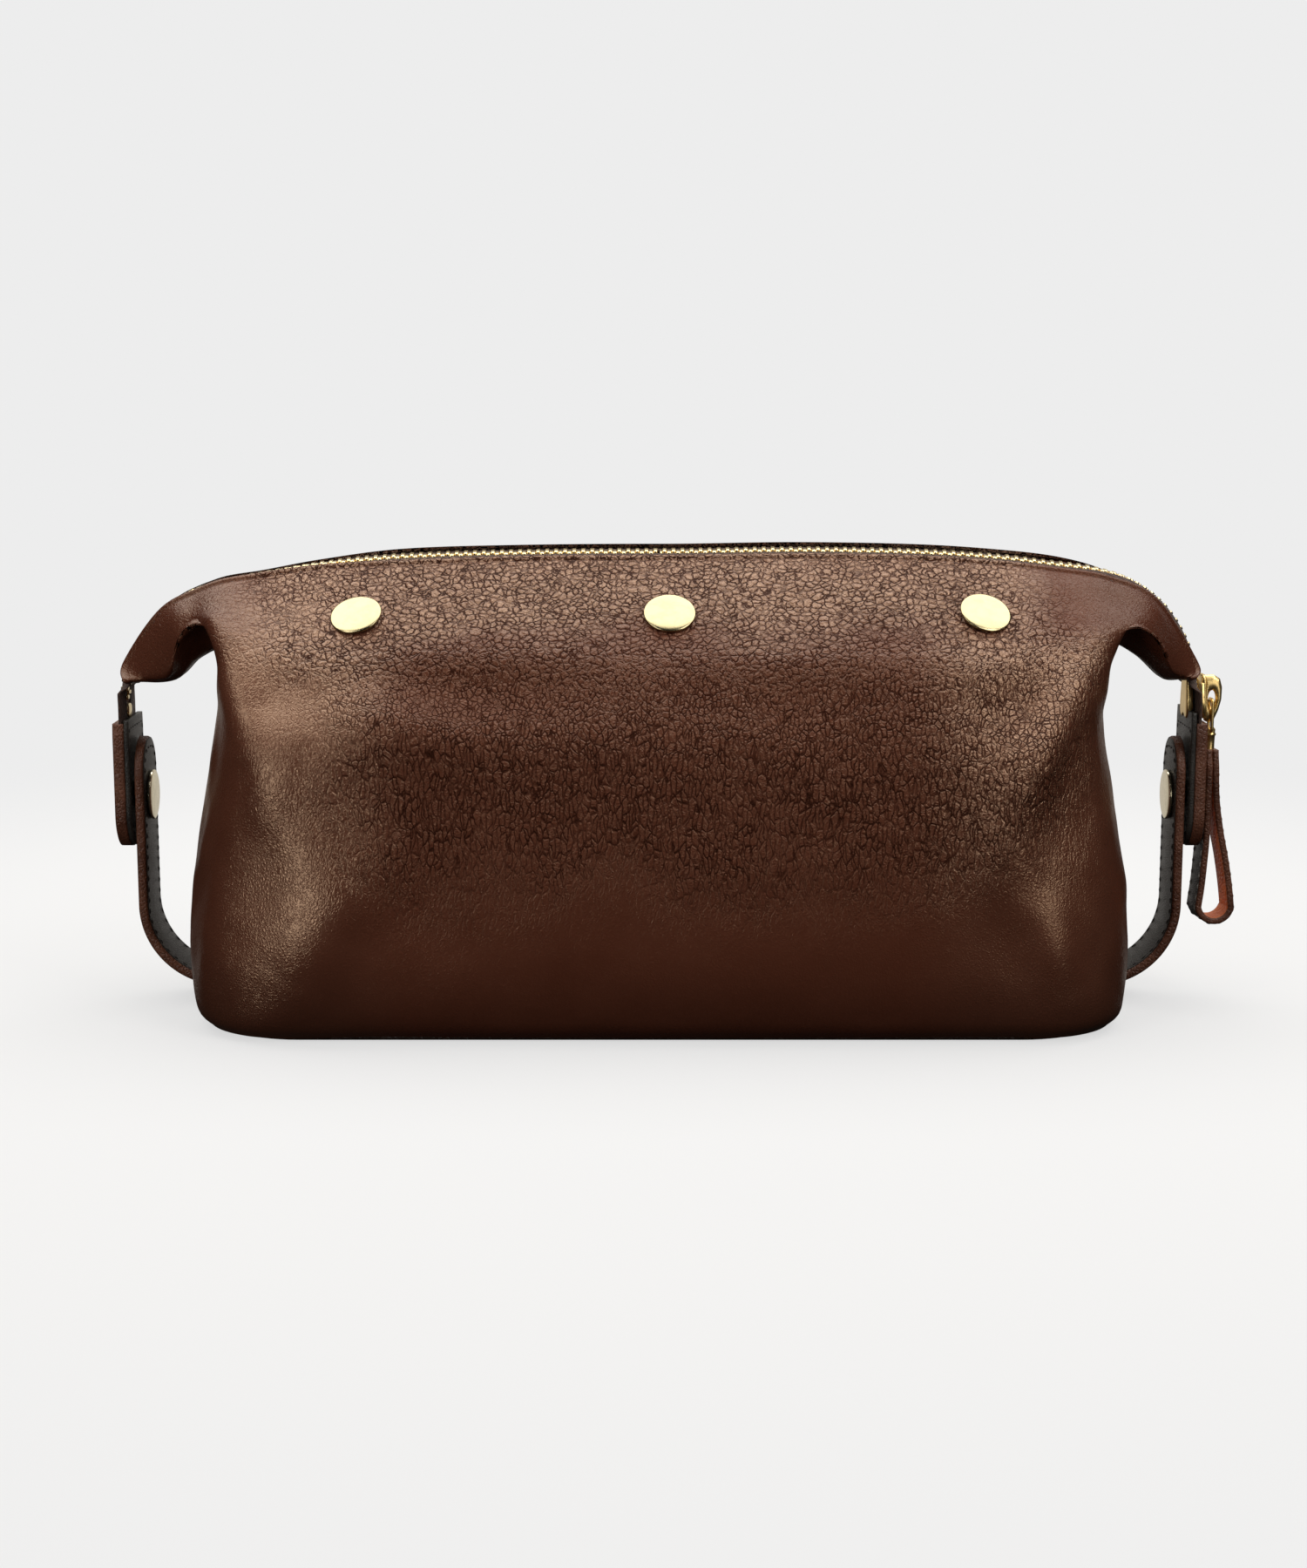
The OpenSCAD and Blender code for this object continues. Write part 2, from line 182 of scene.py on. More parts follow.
def add_scenery():
    bpy.ops.mesh.primitive_uv_sphere_add(segments=48, ring_count=24, radius=9)
    backdrop = dress_scenery("backdrop", backdrop_surface)
    bpy.ops.mesh.primitive_circle_add(vertices=96, radius=8.9, fill_type="NGON")
    floor = dress_scenery("floor", floor_surface)


def softbox(scene, name, place, target, size, glow, tint, glossy, diffuse):
    """An area light whose own surface has the radiance `glow`."""
    data = bpy.data.lights.new(name, "AREA")
    data.shape = "RECTANGLE"
    data.size, data.size_y = size
    data.energy = glow * math.pi * size[0] * size[1]
    data.color = tint
    lamp = bpy.data.objects.new(name, data)
    lamp.location = place
    lamp.rotation_euler = (Vector(target) - Vector(place)).to_track_quat("-Z", "Y").to_euler()
    lamp.visible_glossy = glossy
    lamp.visible_diffuse = diffuse
    scene.collection.objects.link(lamp)


def stage_and_camera():
    scene = bpy.context.scene
    scene.view_settings.view_transform = "Standard"
    add_camera(scene)
    add_world(scene)
    add_scenery()
    for light in LIGHTS:
        softbox(scene, *light)


# ---------------------------------------------------------------- materials

class Graph:
    """A material's node tree with short calls for the nodes used here."""

    def __init__(self, name):
        self.material = bpy.data.materials.new(name)
        self.material.use_nodes = True
        self.tree = self.material.node_tree
        self.shader = self.tree.nodes["Principled BSDF"]

    def node(self, kind, out, inputs, **settings):
        return add_node(self.tree, kind, out, inputs, **settings)

    def place(self):
        """The rest place of each point in metres, so that a pattern stays put when a piece bends."""
        return self.node("ShaderNodeAttribute", "Vector", {}, attribute_name="rest")

    def object_place(self):
        return self.node("ShaderNodeTexCoord", "Object", {})

    def stretch(self, vector, x, y, z):
        return self.node("ShaderNodeVectorMath", 0, {0: vector, 1: (x, y, z)}, operation="MULTIPLY")

    def warp(self, vector, scale, amount):
        """The vector moved about by a smooth noise."""
        noise = self.node("ShaderNodeTexNoise", "Color", {"Scale": scale, "Detail": 1.0, "Vector": vector})
        move = {0: noise, 1: (amount, amount, amount), 2: vector}
        return self.node("ShaderNodeVectorMath", 0, move, operation="MULTIPLY_ADD")

    def noise(self, vector, scale, detail=3.0, rough=0.55):
        inputs = {"Scale": scale, "Detail": detail, "Roughness": rough, "Vector": vector}
        return self.node("ShaderNodeTexNoise", "Fac", inputs)

    def cells(self, vector, scale):
        """Distance to the nearest crease of a net of rounded cells."""
        inputs = {"Scale": scale, "Vector": vector}
        return self.node("ShaderNodeTexVoronoi", "Distance", inputs, feature="DISTANCE_TO_EDGE")

    def span(self, value, a, b, c=0.0, d=1.0):
        """c where the value is a, d where it is b, and a soft step between them."""
        inputs = {"From Min": a, "From Max": b, "To Min": c, "To Max": d, "Value": value}
        return self.node("ShaderNodeMapRange", "Result", inputs, interpolation_type="SMOOTHSTEP")

    def math(self, operation, a, b):
        return self.node("ShaderNodeMath", 0, {0: a, 1: b}, operation=operation)

    def plus(self, a, b):
        return self.math("ADD", a, b)

    def times(self, a, b):
        return self.math("MULTIPLY", a, b)

    def most(self, a, b):
        return self.math("MAXIMUM", a, b)

    def mix(self, factor, a, b):
        """Colour a where the factor is 0 and b where it is 1."""
        a, b = [(*colour, 1) if isinstance(colour, tuple) else colour for colour in (a, b)]
        return self.node("ShaderNodeMix", 2, {0: factor, 6: a, 7: b}, data_type="RGBA")

    def blend_values(self, factor, a, b):
        return self.node("ShaderNodeMix", 0, {0: factor, 2: a, 3: b}, data_type="FLOAT")

    def axis(self, vector, name):
        return self.node("ShaderNodeSeparateXYZ", name, {0: vector})

    def bump(self, height, depth, strength=1.0, under=None):
        inputs = {"Strength": strength, "Distance": depth, "Height": height}
        if under is not None:
            inputs["Normal"] = under
        return self.node("ShaderNodeBump", "Normal", inputs)

    def finish(self, colour, rough, normal, **others):
        """Feeds the shader and returns the material. A plain number goes on the shader's own socket."""
        inputs = {name.replace("_", " "): value for name, value in others.items()}
        feed(self.tree, self.shader, {"Base Color": colour, "Roughness": rough, "Normal": normal, **inputs})
        return self.material


def pebble_edges(g, place, upper):
    """Distances to the creases of the pebbles, round above and drawn out below, and of the finest grain."""
    swayed = g.warp(place, 150.0, 0.0024)
    warped = g.warp(swayed, 800.0, 0.0012)
    round_edge = g.cells(warped, 470.0)
    tall_edge = g.cells(g.stretch(g.warp(swayed, 500.0, 0.0007), 0.95, 1.0, 0.25), 790.0)
    return g.blend_values(upper, tall_edge, round_edge), g.cells(warped, 1150.0)


def pebble_strength(g, place, patches, height, raised, along, reach):
    """How deep the pebbles are: full near the top, fading down, faint on the ears and low at the left."""
    ears = g.span(g.plus(reach, g.times(patches, 0.05)), 0.112, 0.158, 1.0, 0.10)
    left = g.most(g.span(g.plus(along, g.times(patches, 0.05)), -0.085, -0.035), g.span(raised, 0.108, 0.124))
    lower = g.span(g.plus(height, g.times(patches, 0.045)), 0.050, 0.096, 0.03, 1.0)
    strength = g.times(g.times(lower, ears), g.plus(g.times(left, 0.8), 0.2))
    return g.times(strength, g.plus(g.times(g.noise(place, 60.0, 1.0), 0.9), 0.55))


def dull_parts(g, height, raised, along, reach):
    """Where the leather is duller: the handled middle of the panels, the shoulders and the ears."""
    middle = g.times(g.span(raised, 0.122, 0.136, 0.74, 0.0), g.span(reach, 0.066, 0.094, 1.0, 0.0))
    shoulder = g.most(g.span(reach, 0.104, 0.124, 0.0, 0.62), g.span(along, 0.096, 0.116, 0.0, 0.86))
    shoulder = g.times(shoulder, g.span(height, 0.104, 0.116))
    return g.most(middle, g.most(shoulder, g.span(reach, 0.129, 0.139, 0.0, 0.70)))


def body_leather():
    """Pebbled full-grain leather: round pebbles above, drawn-out ones in the middle, smooth below and on the
    ears."""
    g = Graph("pebbled_leather")
    place = g.place()
    height = g.axis(place, "Z")
    along = g.axis(place, "X")
    reach = g.math("ABSOLUTE", along, 0.0)
    patches = g.noise(place, 22.0, 2.0)
    raised = g.plus(height, g.times(patches, 0.03))
    upper = g.span(raised, 0.108, 0.126)
    edge, fine_edge = pebble_edges(g, place, upper)
    strength = pebble_strength(g, place, patches, height, raised, along, reach)

    flat_top = g.times(g.span(edge, 0.0, 0.20), 0.45)
    domed = g.plus(g.times(g.span(edge, 0.0, 0.17), 0.5), g.times(g.span(edge, 0.1, 0.6), 0.4))
    pebble = g.blend_values(upper, flat_top, domed)
    small = g.times(g.span(fine_edge, 0.0, 0.4), g.plus(g.times(strength, 0.15), 0.07))
    normal = g.bump(g.plus(g.times(pebble, strength), small), 0.00065, 1.0)

    mottling = g.noise(place, 55.0, 4.0, 0.6)
    patchy = g.noise(place, 260.0, 3.0, 0.6)
    # painted shade: the pebbles' creases are darkened in colour, more where the pebbles are deeper and less in
    # random patches; the same mask also roughens the creases and dims their gloss
    crease_shade = g.times(g.span(edge, 0.005, 0.12, 1.0, 0.0), g.span(strength, 0.0, 0.8))
    crease_shade = g.times(crease_shade, g.span(patchy, 0.32, 0.60, 0.25, 1.0))
    crease_shade = g.most(crease_shade, g.times(g.span(fine_edge, 0.02, 0.20, 1.0, 0.0), 0.10))
    colour = g.mix(mottling, (0.084, 0.0240, 0.0125), (0.112, 0.0340, 0.0185))
    # painted shade: the colour darkens towards the base edge
    colour = g.mix(g.span(height, 0.004, 0.030, 0.45, 0.0), colour, (0.030, 0.010, 0.006))
    # painted shade: the colour darkens towards both ends and out on the ears
    colour = g.mix(g.span(reach, 0.116, 0.134, 0.0, 0.35), colour, (0.030, 0.009, 0.005))
    # painted shade laid into the creases
    colour = g.mix(crease_shade, colour, (0.026, 0.008, 0.0045))
    rough = g.plus(g.plus(g.times(mottling, 0.12), 0.25), g.times(crease_shade, 0.3))
    polish = g.math("SUBTRACT", 1.0, dull_parts(g, height, raised, along, reach))
    shine = g.times(g.span(crease_shade, 0.0, 0.8, 0.5, 0.04), polish)
    return g.finish(colour, rough, normal, Specular_IOR_Level=shine, IOR=2.15,
                    Specular_Tint=(1.0, 0.70, 0.47, 1.0))


def plain_leather(name, dark, light, scale=900.0, depth=0.00018, rough=0.42):
    """Finer leather for tabs, straps and the pull."""
    g = Graph(name)
    place = g.place()
    warped = g.warp(place, 300.0, 0.0008)
    grain = g.span(g.cells(warped, scale), 0.0, 0.3)
    cloud = g.noise(place, 140.0, 4.0, 0.6)
    normal = g.bump(grain, depth, 0.7)
    normal = g.bump(cloud, 0.0004, 0.3, normal)
    colour = g.mix(g.span(cloud, 0.3, 0.75), dark, light)
    patchy = g.plus(g.times(cloud, 0.2), rough - 0.1)
    return g.finish(colour, patchy, normal, Specular_IOR_Level=0.4)


def brass(name, tint, rough, wear=0.07):
    """Polished brass with faint cloudy wear and hair scratches."""
    g = Graph(name)
    place = g.place()
    cloud = g.noise(place, 260.0, 4.0, 0.65)
    hair = g.noise(g.stretch(place, 1.0, 9.0, 1.0), 900.0, 2.0)
    shade = tuple(v * 0.86 for v in tint)
    colour = g.mix(g.span(cloud, 0.35, 0.75), tint, shade)
    polish = g.plus(g.times(cloud, wear), rough)
    normal = g.bump(hair, 0.00001, 0.5)
    return g.finish(colour, polish, normal, Metallic=1.0)


def cloth(name, dark, light, pitch=0.00055):
    """Woven tape: a herringbone of small ribs."""
    g = Graph(name)
    place = g.place()
    ribs = {"Scale": 1 / pitch / 6.3, "Distortion": 0.6, "Vector": place}
    waves = g.node("ShaderNodeTexWave", "Fac", ribs, wave_type="BANDS", bands_direction="DIAGONAL")
    fuzz = g.noise(place, 3000.0, 2.0)
    weave = g.plus(waves, g.times(fuzz, 0.5))
    colour = g.mix(g.span(weave, 0.2, 1.2), dark, light)
    return g.finish(colour, 0.85, g.bump(weave, 0.00012, 0.8), Sheen_Weight=0.15)


def thread(name, dark, light):
    """Twisted waxed thread."""
    g = Graph(name)
    place = g.place()
    twist = g.noise(place, 2500.0, 2.0)
    colour = g.mix(twist, dark, light)
    return g.finish(colour, 0.6, g.bump(twist, 0.00008, 0.8))


def inner_material(name, dark, light, rough=0.7, metallic=0.0):
    """For the CAD pieces that stay: small-scale mottling by object place."""
    g = Graph(name)
    place = g.object_place()
    cloud = g.noise(place, 400.0, 4.0)
    grain = g.noise(place, 2200.0, 2.0)
    colour = g.mix(cloud, dark, light)
    patchy = g.plus(g.times(cloud, 0.12), rough)
    return g.finish(colour, patchy, g.bump(grain, 0.00006, 0.6), Metallic=metallic)


# ---------------------------------------------------------------- mesh helpers

def add_mesh(name, points, faces, materials, face_materials=None, normals=None):
    """A mesh object from points in millimetres. It keeps each point's rest place as an attribute."""
    points = np.asarray(points, float) * MM
    mesh = bpy.data.meshes.new(name)
    mesh.from_pydata(points.tolist(), [], [list(map(int, f)) for f in faces])
    for m in materials if isinstance(materials, (list, tuple)) else [materials]:
        mesh.materials.append(m)
    if face_materials is not None:
        mesh.polygons.foreach_set("material_index", np.asarray(face_materials, np.int32))
    mesh.polygons.foreach_set("use_smooth", np.full(len(mesh.polygons), True))
    rest = mesh.attributes.new("rest", "FLOAT_VECTOR", "POINT")
    rest.data.foreach_set("vector", points.astype(np.float32).ravel())
    mesh.update()
    if normals is not None:
        mesh.normals_split_custom_set_from_vertices(np.asarray(normals, float).tolist())
    obj = bpy.data.objects.new(name, mesh)
    bpy.context.scene.collection.objects.link(obj)
    return obj


class Parts:
    """Collects several closed forms into one piece."""

    def __init__(self):
        self.points, self.faces = [], []
        self.count = 0

    def add(self, points, faces):
        points = np.asarray(points, float)
        self.points.append(points)
        self.faces += [[i + self.count for i in f] for f in faces]
        self.count += len(points)

    def build(self, name, material, slot):
        return add_mesh(name, np.vstack(self.points), self.faces, material)


def build_piece(name, material, slot, *forms):
    """One piece made of closed forms, each given as its points and faces."""
    parts = Parts()
    for points, faces in forms:
        parts.add(points, faces)
    return parts.build(name, material, slot)


def fix(piece, body, node):
    """Fixes a piece to a body, in place of a CAD node."""
    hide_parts(node)
    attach(piece, body)


def ring_faces(rings, sides, closed=False):
    """Quads between successive rings of points."""
    faces = []
    for j in range(rings if closed else rings - 1):
        a, b = j * sides, (j + 1) % rings * sides
        faces += [[a + i, a + (i + 1) % sides, b + (i + 1) % sides, b + i] for i in range(sides)]
    return faces


def closed_faces(rings, sides):
    """Quads between successive rings of points, and a face over each end."""
    first, last = list(range(sides))[::-1], list(range((rings - 1) * sides, rings * sides))
    return ring_faces(rings, sides) + [first, last]


def directions(path, closed=False):
    """The unit direction of a path at each of its points."""
    if closed:
        way = np.roll(path, -1, 0) - np.roll(path, 1, 0)
    else:
        way = np.gradient(path, axis=0)
    return way / np.linalg.norm(way, axis=1)[:, None]


def left_of(path, closed=False):
    """The unit normal on the left of a flat path's run."""
    way = directions(path, closed)
    return np.stack([-way[:, 1], way[:, 0]], 1)


def at_y(flat, y):
    """Points or normals of the XZ plane with the given y."""
    return np.stack([flat[:, 0], y, flat[:, 1]], 1)


def lathe(profile, centre, axis, sides=64):
    """A turned form: profile gives (radius, height) pairs along the axis, closed on the axis at both ends."""
    axis = Vector(axis).normalized()
    side = axis.orthogonal().normalized()
    u, v, up = np.array(side), np.array(axis.cross(side)), np.array(axis)
    centre = np.array(centre, float)
    turns = [2 * math.pi * i / sides for i in range(sides)]
    points = [centre + up * h + u * r * math.cos(a) + v * r * math.sin(a) for r, h in profile for a in turns]
    return points, closed_faces(len(profile), sides)


def dome_profile(r, h, base=0.0):
    """A polished cap: a rolled rim under a flat crown."""
    rim = 0.42 * h
    turn = [(r - rim + rim * math.sin(a), base + rim - rim * math.cos(a)) for a in np.linspace(0.05, 2.1, 9)]
    last_r, last_h = turn[-1]
    rise = base + h - last_h
    crown = [(last_r * math.cos(a), last_h + rise * math.sin(a)) for a in np.linspace(0.05, 1.53, 12)]
    return [(0.02, base)] + turn + crown + [(0.02, base + h)]


def snap_cap(post, height, base, centre, axis):
    """A snap's domed cap, on a post that reaches back from it."""
    stem = [(0.02, -post), (1.2, -post), (1.2, 0.0), (6.6, 0.0)]
    return lathe(stem + dome_profile(7.4, height, base)[1:], centre, axis, 96)


def tube(path, radius, sides=12, closed=False):
    """A round bar along a path of points."""
    path = np.asarray(path, float)
    tangents = directions(path, closed)
    side = np.cross(tangents[0], [0.3, 0.5, 0.8])
    points = []
    for p, t in zip(path, tangents):
        side = side - t * np.dot(side, t)
        side /= np.linalg.norm(side)
        up = np.cross(t, side)
        for i in range(sides):
            a = 2 * math.pi * i / sides
            points.append(p + radius * (side * math.cos(a) + up * math.sin(a)))
    return points, ring_faces(len(path), sides, True) if closed else closed_faces(len(path), sides)


def band(path, half_width, thick, round_by=0.5):
    """A flat strip bent in the XZ plane, with its middle points and half widths given. Returns the points, the
    faces and which faces lie on the left and the right of its run."""
    path = np.asarray(path, float)
    h = thick / 2
    r = min(round_by, h * 0.98)
    corner = [(math.cos(a), math.sin(a)) for a in np.radians([0, 30, 60, 90])]
    turns = ((1, 1, corner), (-1, 1, corner[::-1]), (-1, -1, corner), (1, -1, corner[::-1]))
    points = []
    for p, w, nrm in zip(path, half_width, left_of(path)):
        for sy, sn, order in turns:
            for c, s in order:
                y = sy * (max(w - r, 0.02) + min(r, w) * c)
                d = sn * (h - r + r * s)
                points.append([p[0] + nrm[0] * d, y, p[1] + nrm[1] * d])
    sides = len(turns) * len(corner)
    on_left, on_right = [[int(i == face) for _ in range(len(path) - 1) for i in range(sides)] + [0, 0]
                         for face in (3, 11)]
    return points, closed_faces(len(path), sides), np.array(on_left), np.array(on_right)


def resample(path, step):
    """Points a fixed distance apart along a path, with their run lengths."""
    path = np.asarray(path, float)
    run = np.concatenate([[0], np.cumsum(np.linalg.norm(np.diff(path, axis=0), axis=1))])
    n = max(2, int(round(run[-1] / step)) + 1)
    at = np.linspace(0, run[-1], n)
    return np.stack([np.interp(at, run, path[:, k]) for k in range(path.shape[1])], 1), at


def arc(cx, cz, r, a0, a1, n):
    a = np.radians(np.linspace(a0, a1, n))
    return np.stack([cx + r * np.cos(a), cz + r * np.sin(a)], 1)


def stitches(parts, line, normal, pitch=3.0, length=2.1, radius=0.27, lift=-0.14):
    """Small threads laid along a line of points, each with the surface's normal, sunk at both ends."""
    line, at = resample(np.hstack([line, normal]), 0.25)
    spots, nrm = line[:, :3], line[:, 3:]
    nrm = nrm / np.linalg.norm(nrm, axis=1)[:, None]
    total = at[-1]
    count = int(total // pitch)
    for k in range(count):
        mid = (k + 0.5) * total / count
        where = mid + np.linspace(-length / 2, length / 2, 6)
        p = np.stack([np.interp(where, at, spots[:, i]) for i in range(3)], 1)
        d = np.stack([np.interp(where, at, nrm[:, i]) for i in range(3)], 1)
        rise = lift + radius * np.array([-1.6, 0.0, 0.45, 0.45, 0.0, -1.6])
        parts.add(*tube(p + d * rise[:, None], radius, 8))


def lattice_noise(points, sizes, seed):
    """Smooth noise from -1 to 1, with one lattice cell each `sizes` millimetres."""
    n = 24
    values = np.random.default_rng(seed).uniform(-1, 1, (n, n, n))
    p = points / np.asarray(sizes, float) + 1000.37
    base = np.floor(p).astype(int)
    f = p - base
    f = f * f * (3 - 2 * f)
    total = 0
    for corner in range(8):
        o = np.array([corner & 1, corner >> 1 & 1, corner >> 2 & 1])
        w = np.prod(np.where(o, f, 1 - f), axis=-1)
        q = (base + o) % n
        total = total + w * values[q[..., 0], q[..., 1], q[..., 2]]
    return total


# ---------------------------------------------------------------- the zip's line

ZIP_POINTS = {
    "left": [(0, 133.1), (40, 132.8), (75, 131.7), (99, 129.5), (117, 126.6), (131, 123.8), (141.5, 119.3),
             (149.5, 112.4), (155.3, 103.6), (157.8, 95.0), (158, 87.5), (158, 70)],
    "right": [(0, 133.1), (40, 133.6), (75, 133.0), (99, 131.5), (115, 129.6), (128, 127.9), (138, 124.8),
              (146.3, 119.1), (152.6, 111), (156.6, 101.4), (158, 91), (158, 82), (158, 70)],
}


def catmull(points, steps, first, last):
    """Catmull-Rom curves through points along axis 0, with the points before and after the ends given."""
    p = np.concatenate([first[None], points, last[None]])
    rows = []
    for i, n in enumerate(steps):
        a, b, c, d = p[i:i + 4]
        for t in np.arange(n) / n:
            rows.append(0.5 * (2 * b + (c - a) * t + (2 * a - 5 * b + 4 * c - d) * t * t
                               + (3 * b - a - 3 * c + d) * t ** 3))
    rows.append(points[-1])
    return np.array(rows)


def smooth_between(x, a, b):
    t = np.clip((x - a) / (b - a), 0, 1)
    return t * t * (3 - 2 * t)


class ZipPath:
    """The zip's middle line from the centre of the bag to the end of the tape on one side, as (|x|, z)."""

    def __init__(self, side):
        points = np.array(ZIP_POINTS[side], float)
        line = catmull(points, [20] * (len(points) - 1), points[1] * [-1, 1], 2 * points[-1] - points[-2])
        self.p, self.run = resample(line, 0.5)
        self.t = directions(self.p)
        self.side = side

    def at(self, run):
        """Middle of the zip, its direction and its outward normal."""
        p = np.array([np.interp(run, self.run, self.p[:, k]) for k in range(2)])
        t = np.array([np.interp(run, self.run, self.t[:, k]) for k in range(2)])
        return p, t, np.array([-t[1], t[0]])

    def roll(self, x):
        """How far the zip leans to the front, in radians."""
        fade = (85, 108) if self.side == "left" else (118, 140)
        return math.radians(10) * (1 - smooth_between(x, *fade))

    def place(self, run, y, out):
        """A point of the zip's cross-section: y to the back, out away from the bag, as (|x|, y, z)."""
        p, _, n = self.at(run)
        a = self.roll(p[0])
        q = p + n * (out * math.cos(a) + y * math.sin(a))
        return np.array([q[0], y * math.cos(a) - out * math.sin(a), q[1]])

    def run_at(self, x=None, z=None):
        if x is not None:
            return float(np.interp(x, self.p[:, 0], self.run))
        low = self.p[:, 0] > 140
        return float(np.interp(-z, -self.p[low][:, 1], self.run[low]))


ZIPS = {side: ZipPath(side) for side in ("left", "right")}


# ---------------------------------------------------------------- the leather body

def low_ring(hx, hy, r, z, seam_in=0.0):
    """Eleven points of a rounded rectangle, from the middle of the front to the middle of the right end."""
    sx, sy = hx - r, hy - r
    ring = [(f * sx, -hy) for f in (0, 0.37, 0.70, 0.90)]
    turn = [math.radians(a) for a in (-84, -62, -38, -14)]
    ring += [(sx + r * math.cos(a), -sy + r * math.sin(a)) for a in turn]
    ring += [(hx - 0.2 * seam_in, -sy * 0.8), (hx - 0.6 * seam_in, -sy * 0.4), (hx - seam_in, 0)]
    return [(x, y, z) for x, y in ring]


def high_ring(front_y, front_z, rise, rest):
    """Eleven points where the first three follow the top's slope, and the others are given."""
    return [(x, front_y, front_z + d) for x, d in zip((0, 40, 75), rise)] + list(rest)


# Upper control points, from the shoulder round the ear to the seam at the end
EAR_NET = {
    "right": (
        [(98, -44.6, 95), (112, -42.5, 94.6), (121, -38.5, 94.5), (126, -33, 95),
         (127, -26, 95.5), (125.7, -17, 95.5), (123.7, -8, 96), (122.2, 0, 96.5)],
        [(98, -38.2, 105.2), (112, -36.6, 104.6), (121.5, -33.3, 104.4), (127.2, -29.6, 104.4),
         (128.6, -24, 105.0), (126.8, -16, 104.8), (124.3, -8, 104.2), (122.8, 0, 103.9)],
        [(98, -28.4, 113.4), (113, -28.6, 112.7), (123.5, -28.3, 111.8), (130.2, -25.8, 111.8),
         (135.4, -20.5, 114.0), (134.4, -13.5, 111.8), (132.4, -6.5, 108.8), (131.5, 0, 107.2)],
        [(98, -20.4, 120.0), (115, -20.7, 118.8), (127, -21.0, 117.2), (137.3, -20.2, 114.8),
         (143.4, -18.2, 108.9), (141.3, -13.2, 107.2), (140.2, -6.6, 104.6), (140.4, 0, 103.0)],
        [(98.5, -12.2, 126.8), (117, -12.4, 124.9), (131, -12.8, 121.9), (143.5, -13.6, 116.2),
         (148.8, -14.6, 100.8), (148.0, -10, 98.6), (147.6, -5, 97.1), (148.2, 0, 96.3)]),
    "left": (
        [(98, -44.6, 95), (112, -42.4, 94.6), (120.5, -38.3, 94.5), (124.8, -33, 95),
         (125.6, -26, 95.5), (124.3, -17, 95.5), (122, -8, 96), (120.5, 0, 96.5)],
        [(98, -38.2, 105), (111.5, -36.6, 104.4), (119.8, -33.6, 104), (124.2, -29.8, 103.8),
         (125.2, -24.5, 104.2), (123.5, -16, 104), (121.5, -8, 103.5), (120, 0, 103)],
        [(98, -28.4, 112.9), (111.5, -28.9, 111.8), (120.8, -28.8, 110.9), (126.2, -26.2, 110.6),
         (129.6, -19.2, 114.6), (129.4, -13, 111.6), (128.5, -6.5, 107.4), (128.2, 0, 105.4)],
        [(98, -20.6, 119.0), (113, -21.2, 117.0), (123.5, -21.8, 115.9), (130.2, -20.8, 116.0),
         (137.9, -17.3, 111.2), (136.5, -13, 108.2), (135.6, -6.5, 103.8), (135.6, 0, 102.2)],
        [(98.5, -12.4, 125.4), (115, -12.8, 122.4), (128, -13.3, 120.9), (139.5, -13.6, 115.4),
         (142.8, -15.0, 100.2), (142.2, -10, 98.4), (142.2, -5, 96.9), (142.8, 0, 96.2)]),
}


def lip_ring(side, back):
    """The panel's edge along the zip, then round the open end of the ear."""
    path = ZIPS[side]
    points = []
    for x in (0, 40, 75, 99, 117, 131, 145, 158.2):
        run = path.run_at(x=x) if x < 150 else path.run_at(z=101.5)
        lean = path.roll(x) / math.radians(10)
        out = 1.25 + (0.35 if back else -1.3) * lean
        if side == "right":
            out -= 1.0 * smooth_between(x, 118, 131) * (1 - smooth_between(x, 146, 158))
        q = path.place(run, 0, out)
        points.append((q[0], -5.1, q[2] + (0.9 * lean if back else 0)))
    low = 97.6 if side == "right" else 96.6
    return points + [(156.6, -10.4, low), (155.4, -5.2, low - 1), (154.8, 0, low - 1.5)]


def body_net(side, back):
    """Rings of control points from the base edge to the zip, for one quarter of the body."""
    wide = (0.4, 1.6, 1.8, 1.5, 0.2) if side == "left" else (0.3, 1.0, 1.0, 0.9, 0.3)
    rise = np.array((0, -0.3, -1.4) if side == "left" else (0, 0.5, -0.1))
    ear = EAR_NET[side]
    lift = 1.6 if back else 0.0
    rings = [
        low_ring(130.3, 52.0, 24, 0.7),
        low_ring(133.6, 56.0, 27, 5),
        low_ring(134.4 + wide[0], 58.2, 31, 15),
        low_ring(134.2 + wide[1], 58.6, 35, 30),
        low_ring(132.6 + wide[2], 57.8, 38, 48),
        low_ring(129.8 + wide[3], 55.6, 37, 66, 1.5),
        low_ring(127.6 + wide[4], 51.8, 31, 83, 3.5),
        high_ring(-45.5, 96, rise * 0.1, ear[0]),
        high_ring(-39.0, 106.8, rise * 0.3, ear[1]),
        high_ring(-28.8, 115.0, rise * 0.5, ear[2]),
        high_ring(-20.3, 121.9, rise * 0.8, ear[3]),
        high_ring(-12.2, 128.2, rise, ear[4]),
        lip_ring(side, back),
    ]
    net = np.array(rings)
    net[10, :5, 2] += 0.4 * lift
    net[11, :5, 2] += lift
    return net


COLUMN_STEPS = (30, 26, 18, 12, 10, 9, 9, 9, 9, 9)
ROW_STEPS = (5, 8, 11, 13, 13, 12, 10, 9, 8, 8, 8, 20)


def ridge(points, ends, width, height):
    """A soft fold: a bell-shaped ridge along the segment between two (x, z) ends."""
    a, b = np.array(ends[0], float), np.array(ends[1], float)
    q = points[..., [0, 2]]
    along = np.clip(((q - a) @ (b - a)) / ((b - a) @ (b - a)), 0, 1)
    off = q - (a + along[..., None] * (b - a))
    bell = np.exp(-(np.sum(off ** 2, -1)) / (2 * width ** 2))
    return height * bell * (0.35 + 0.65 * np.sin(math.pi * (0.1 + 0.8 * along)))


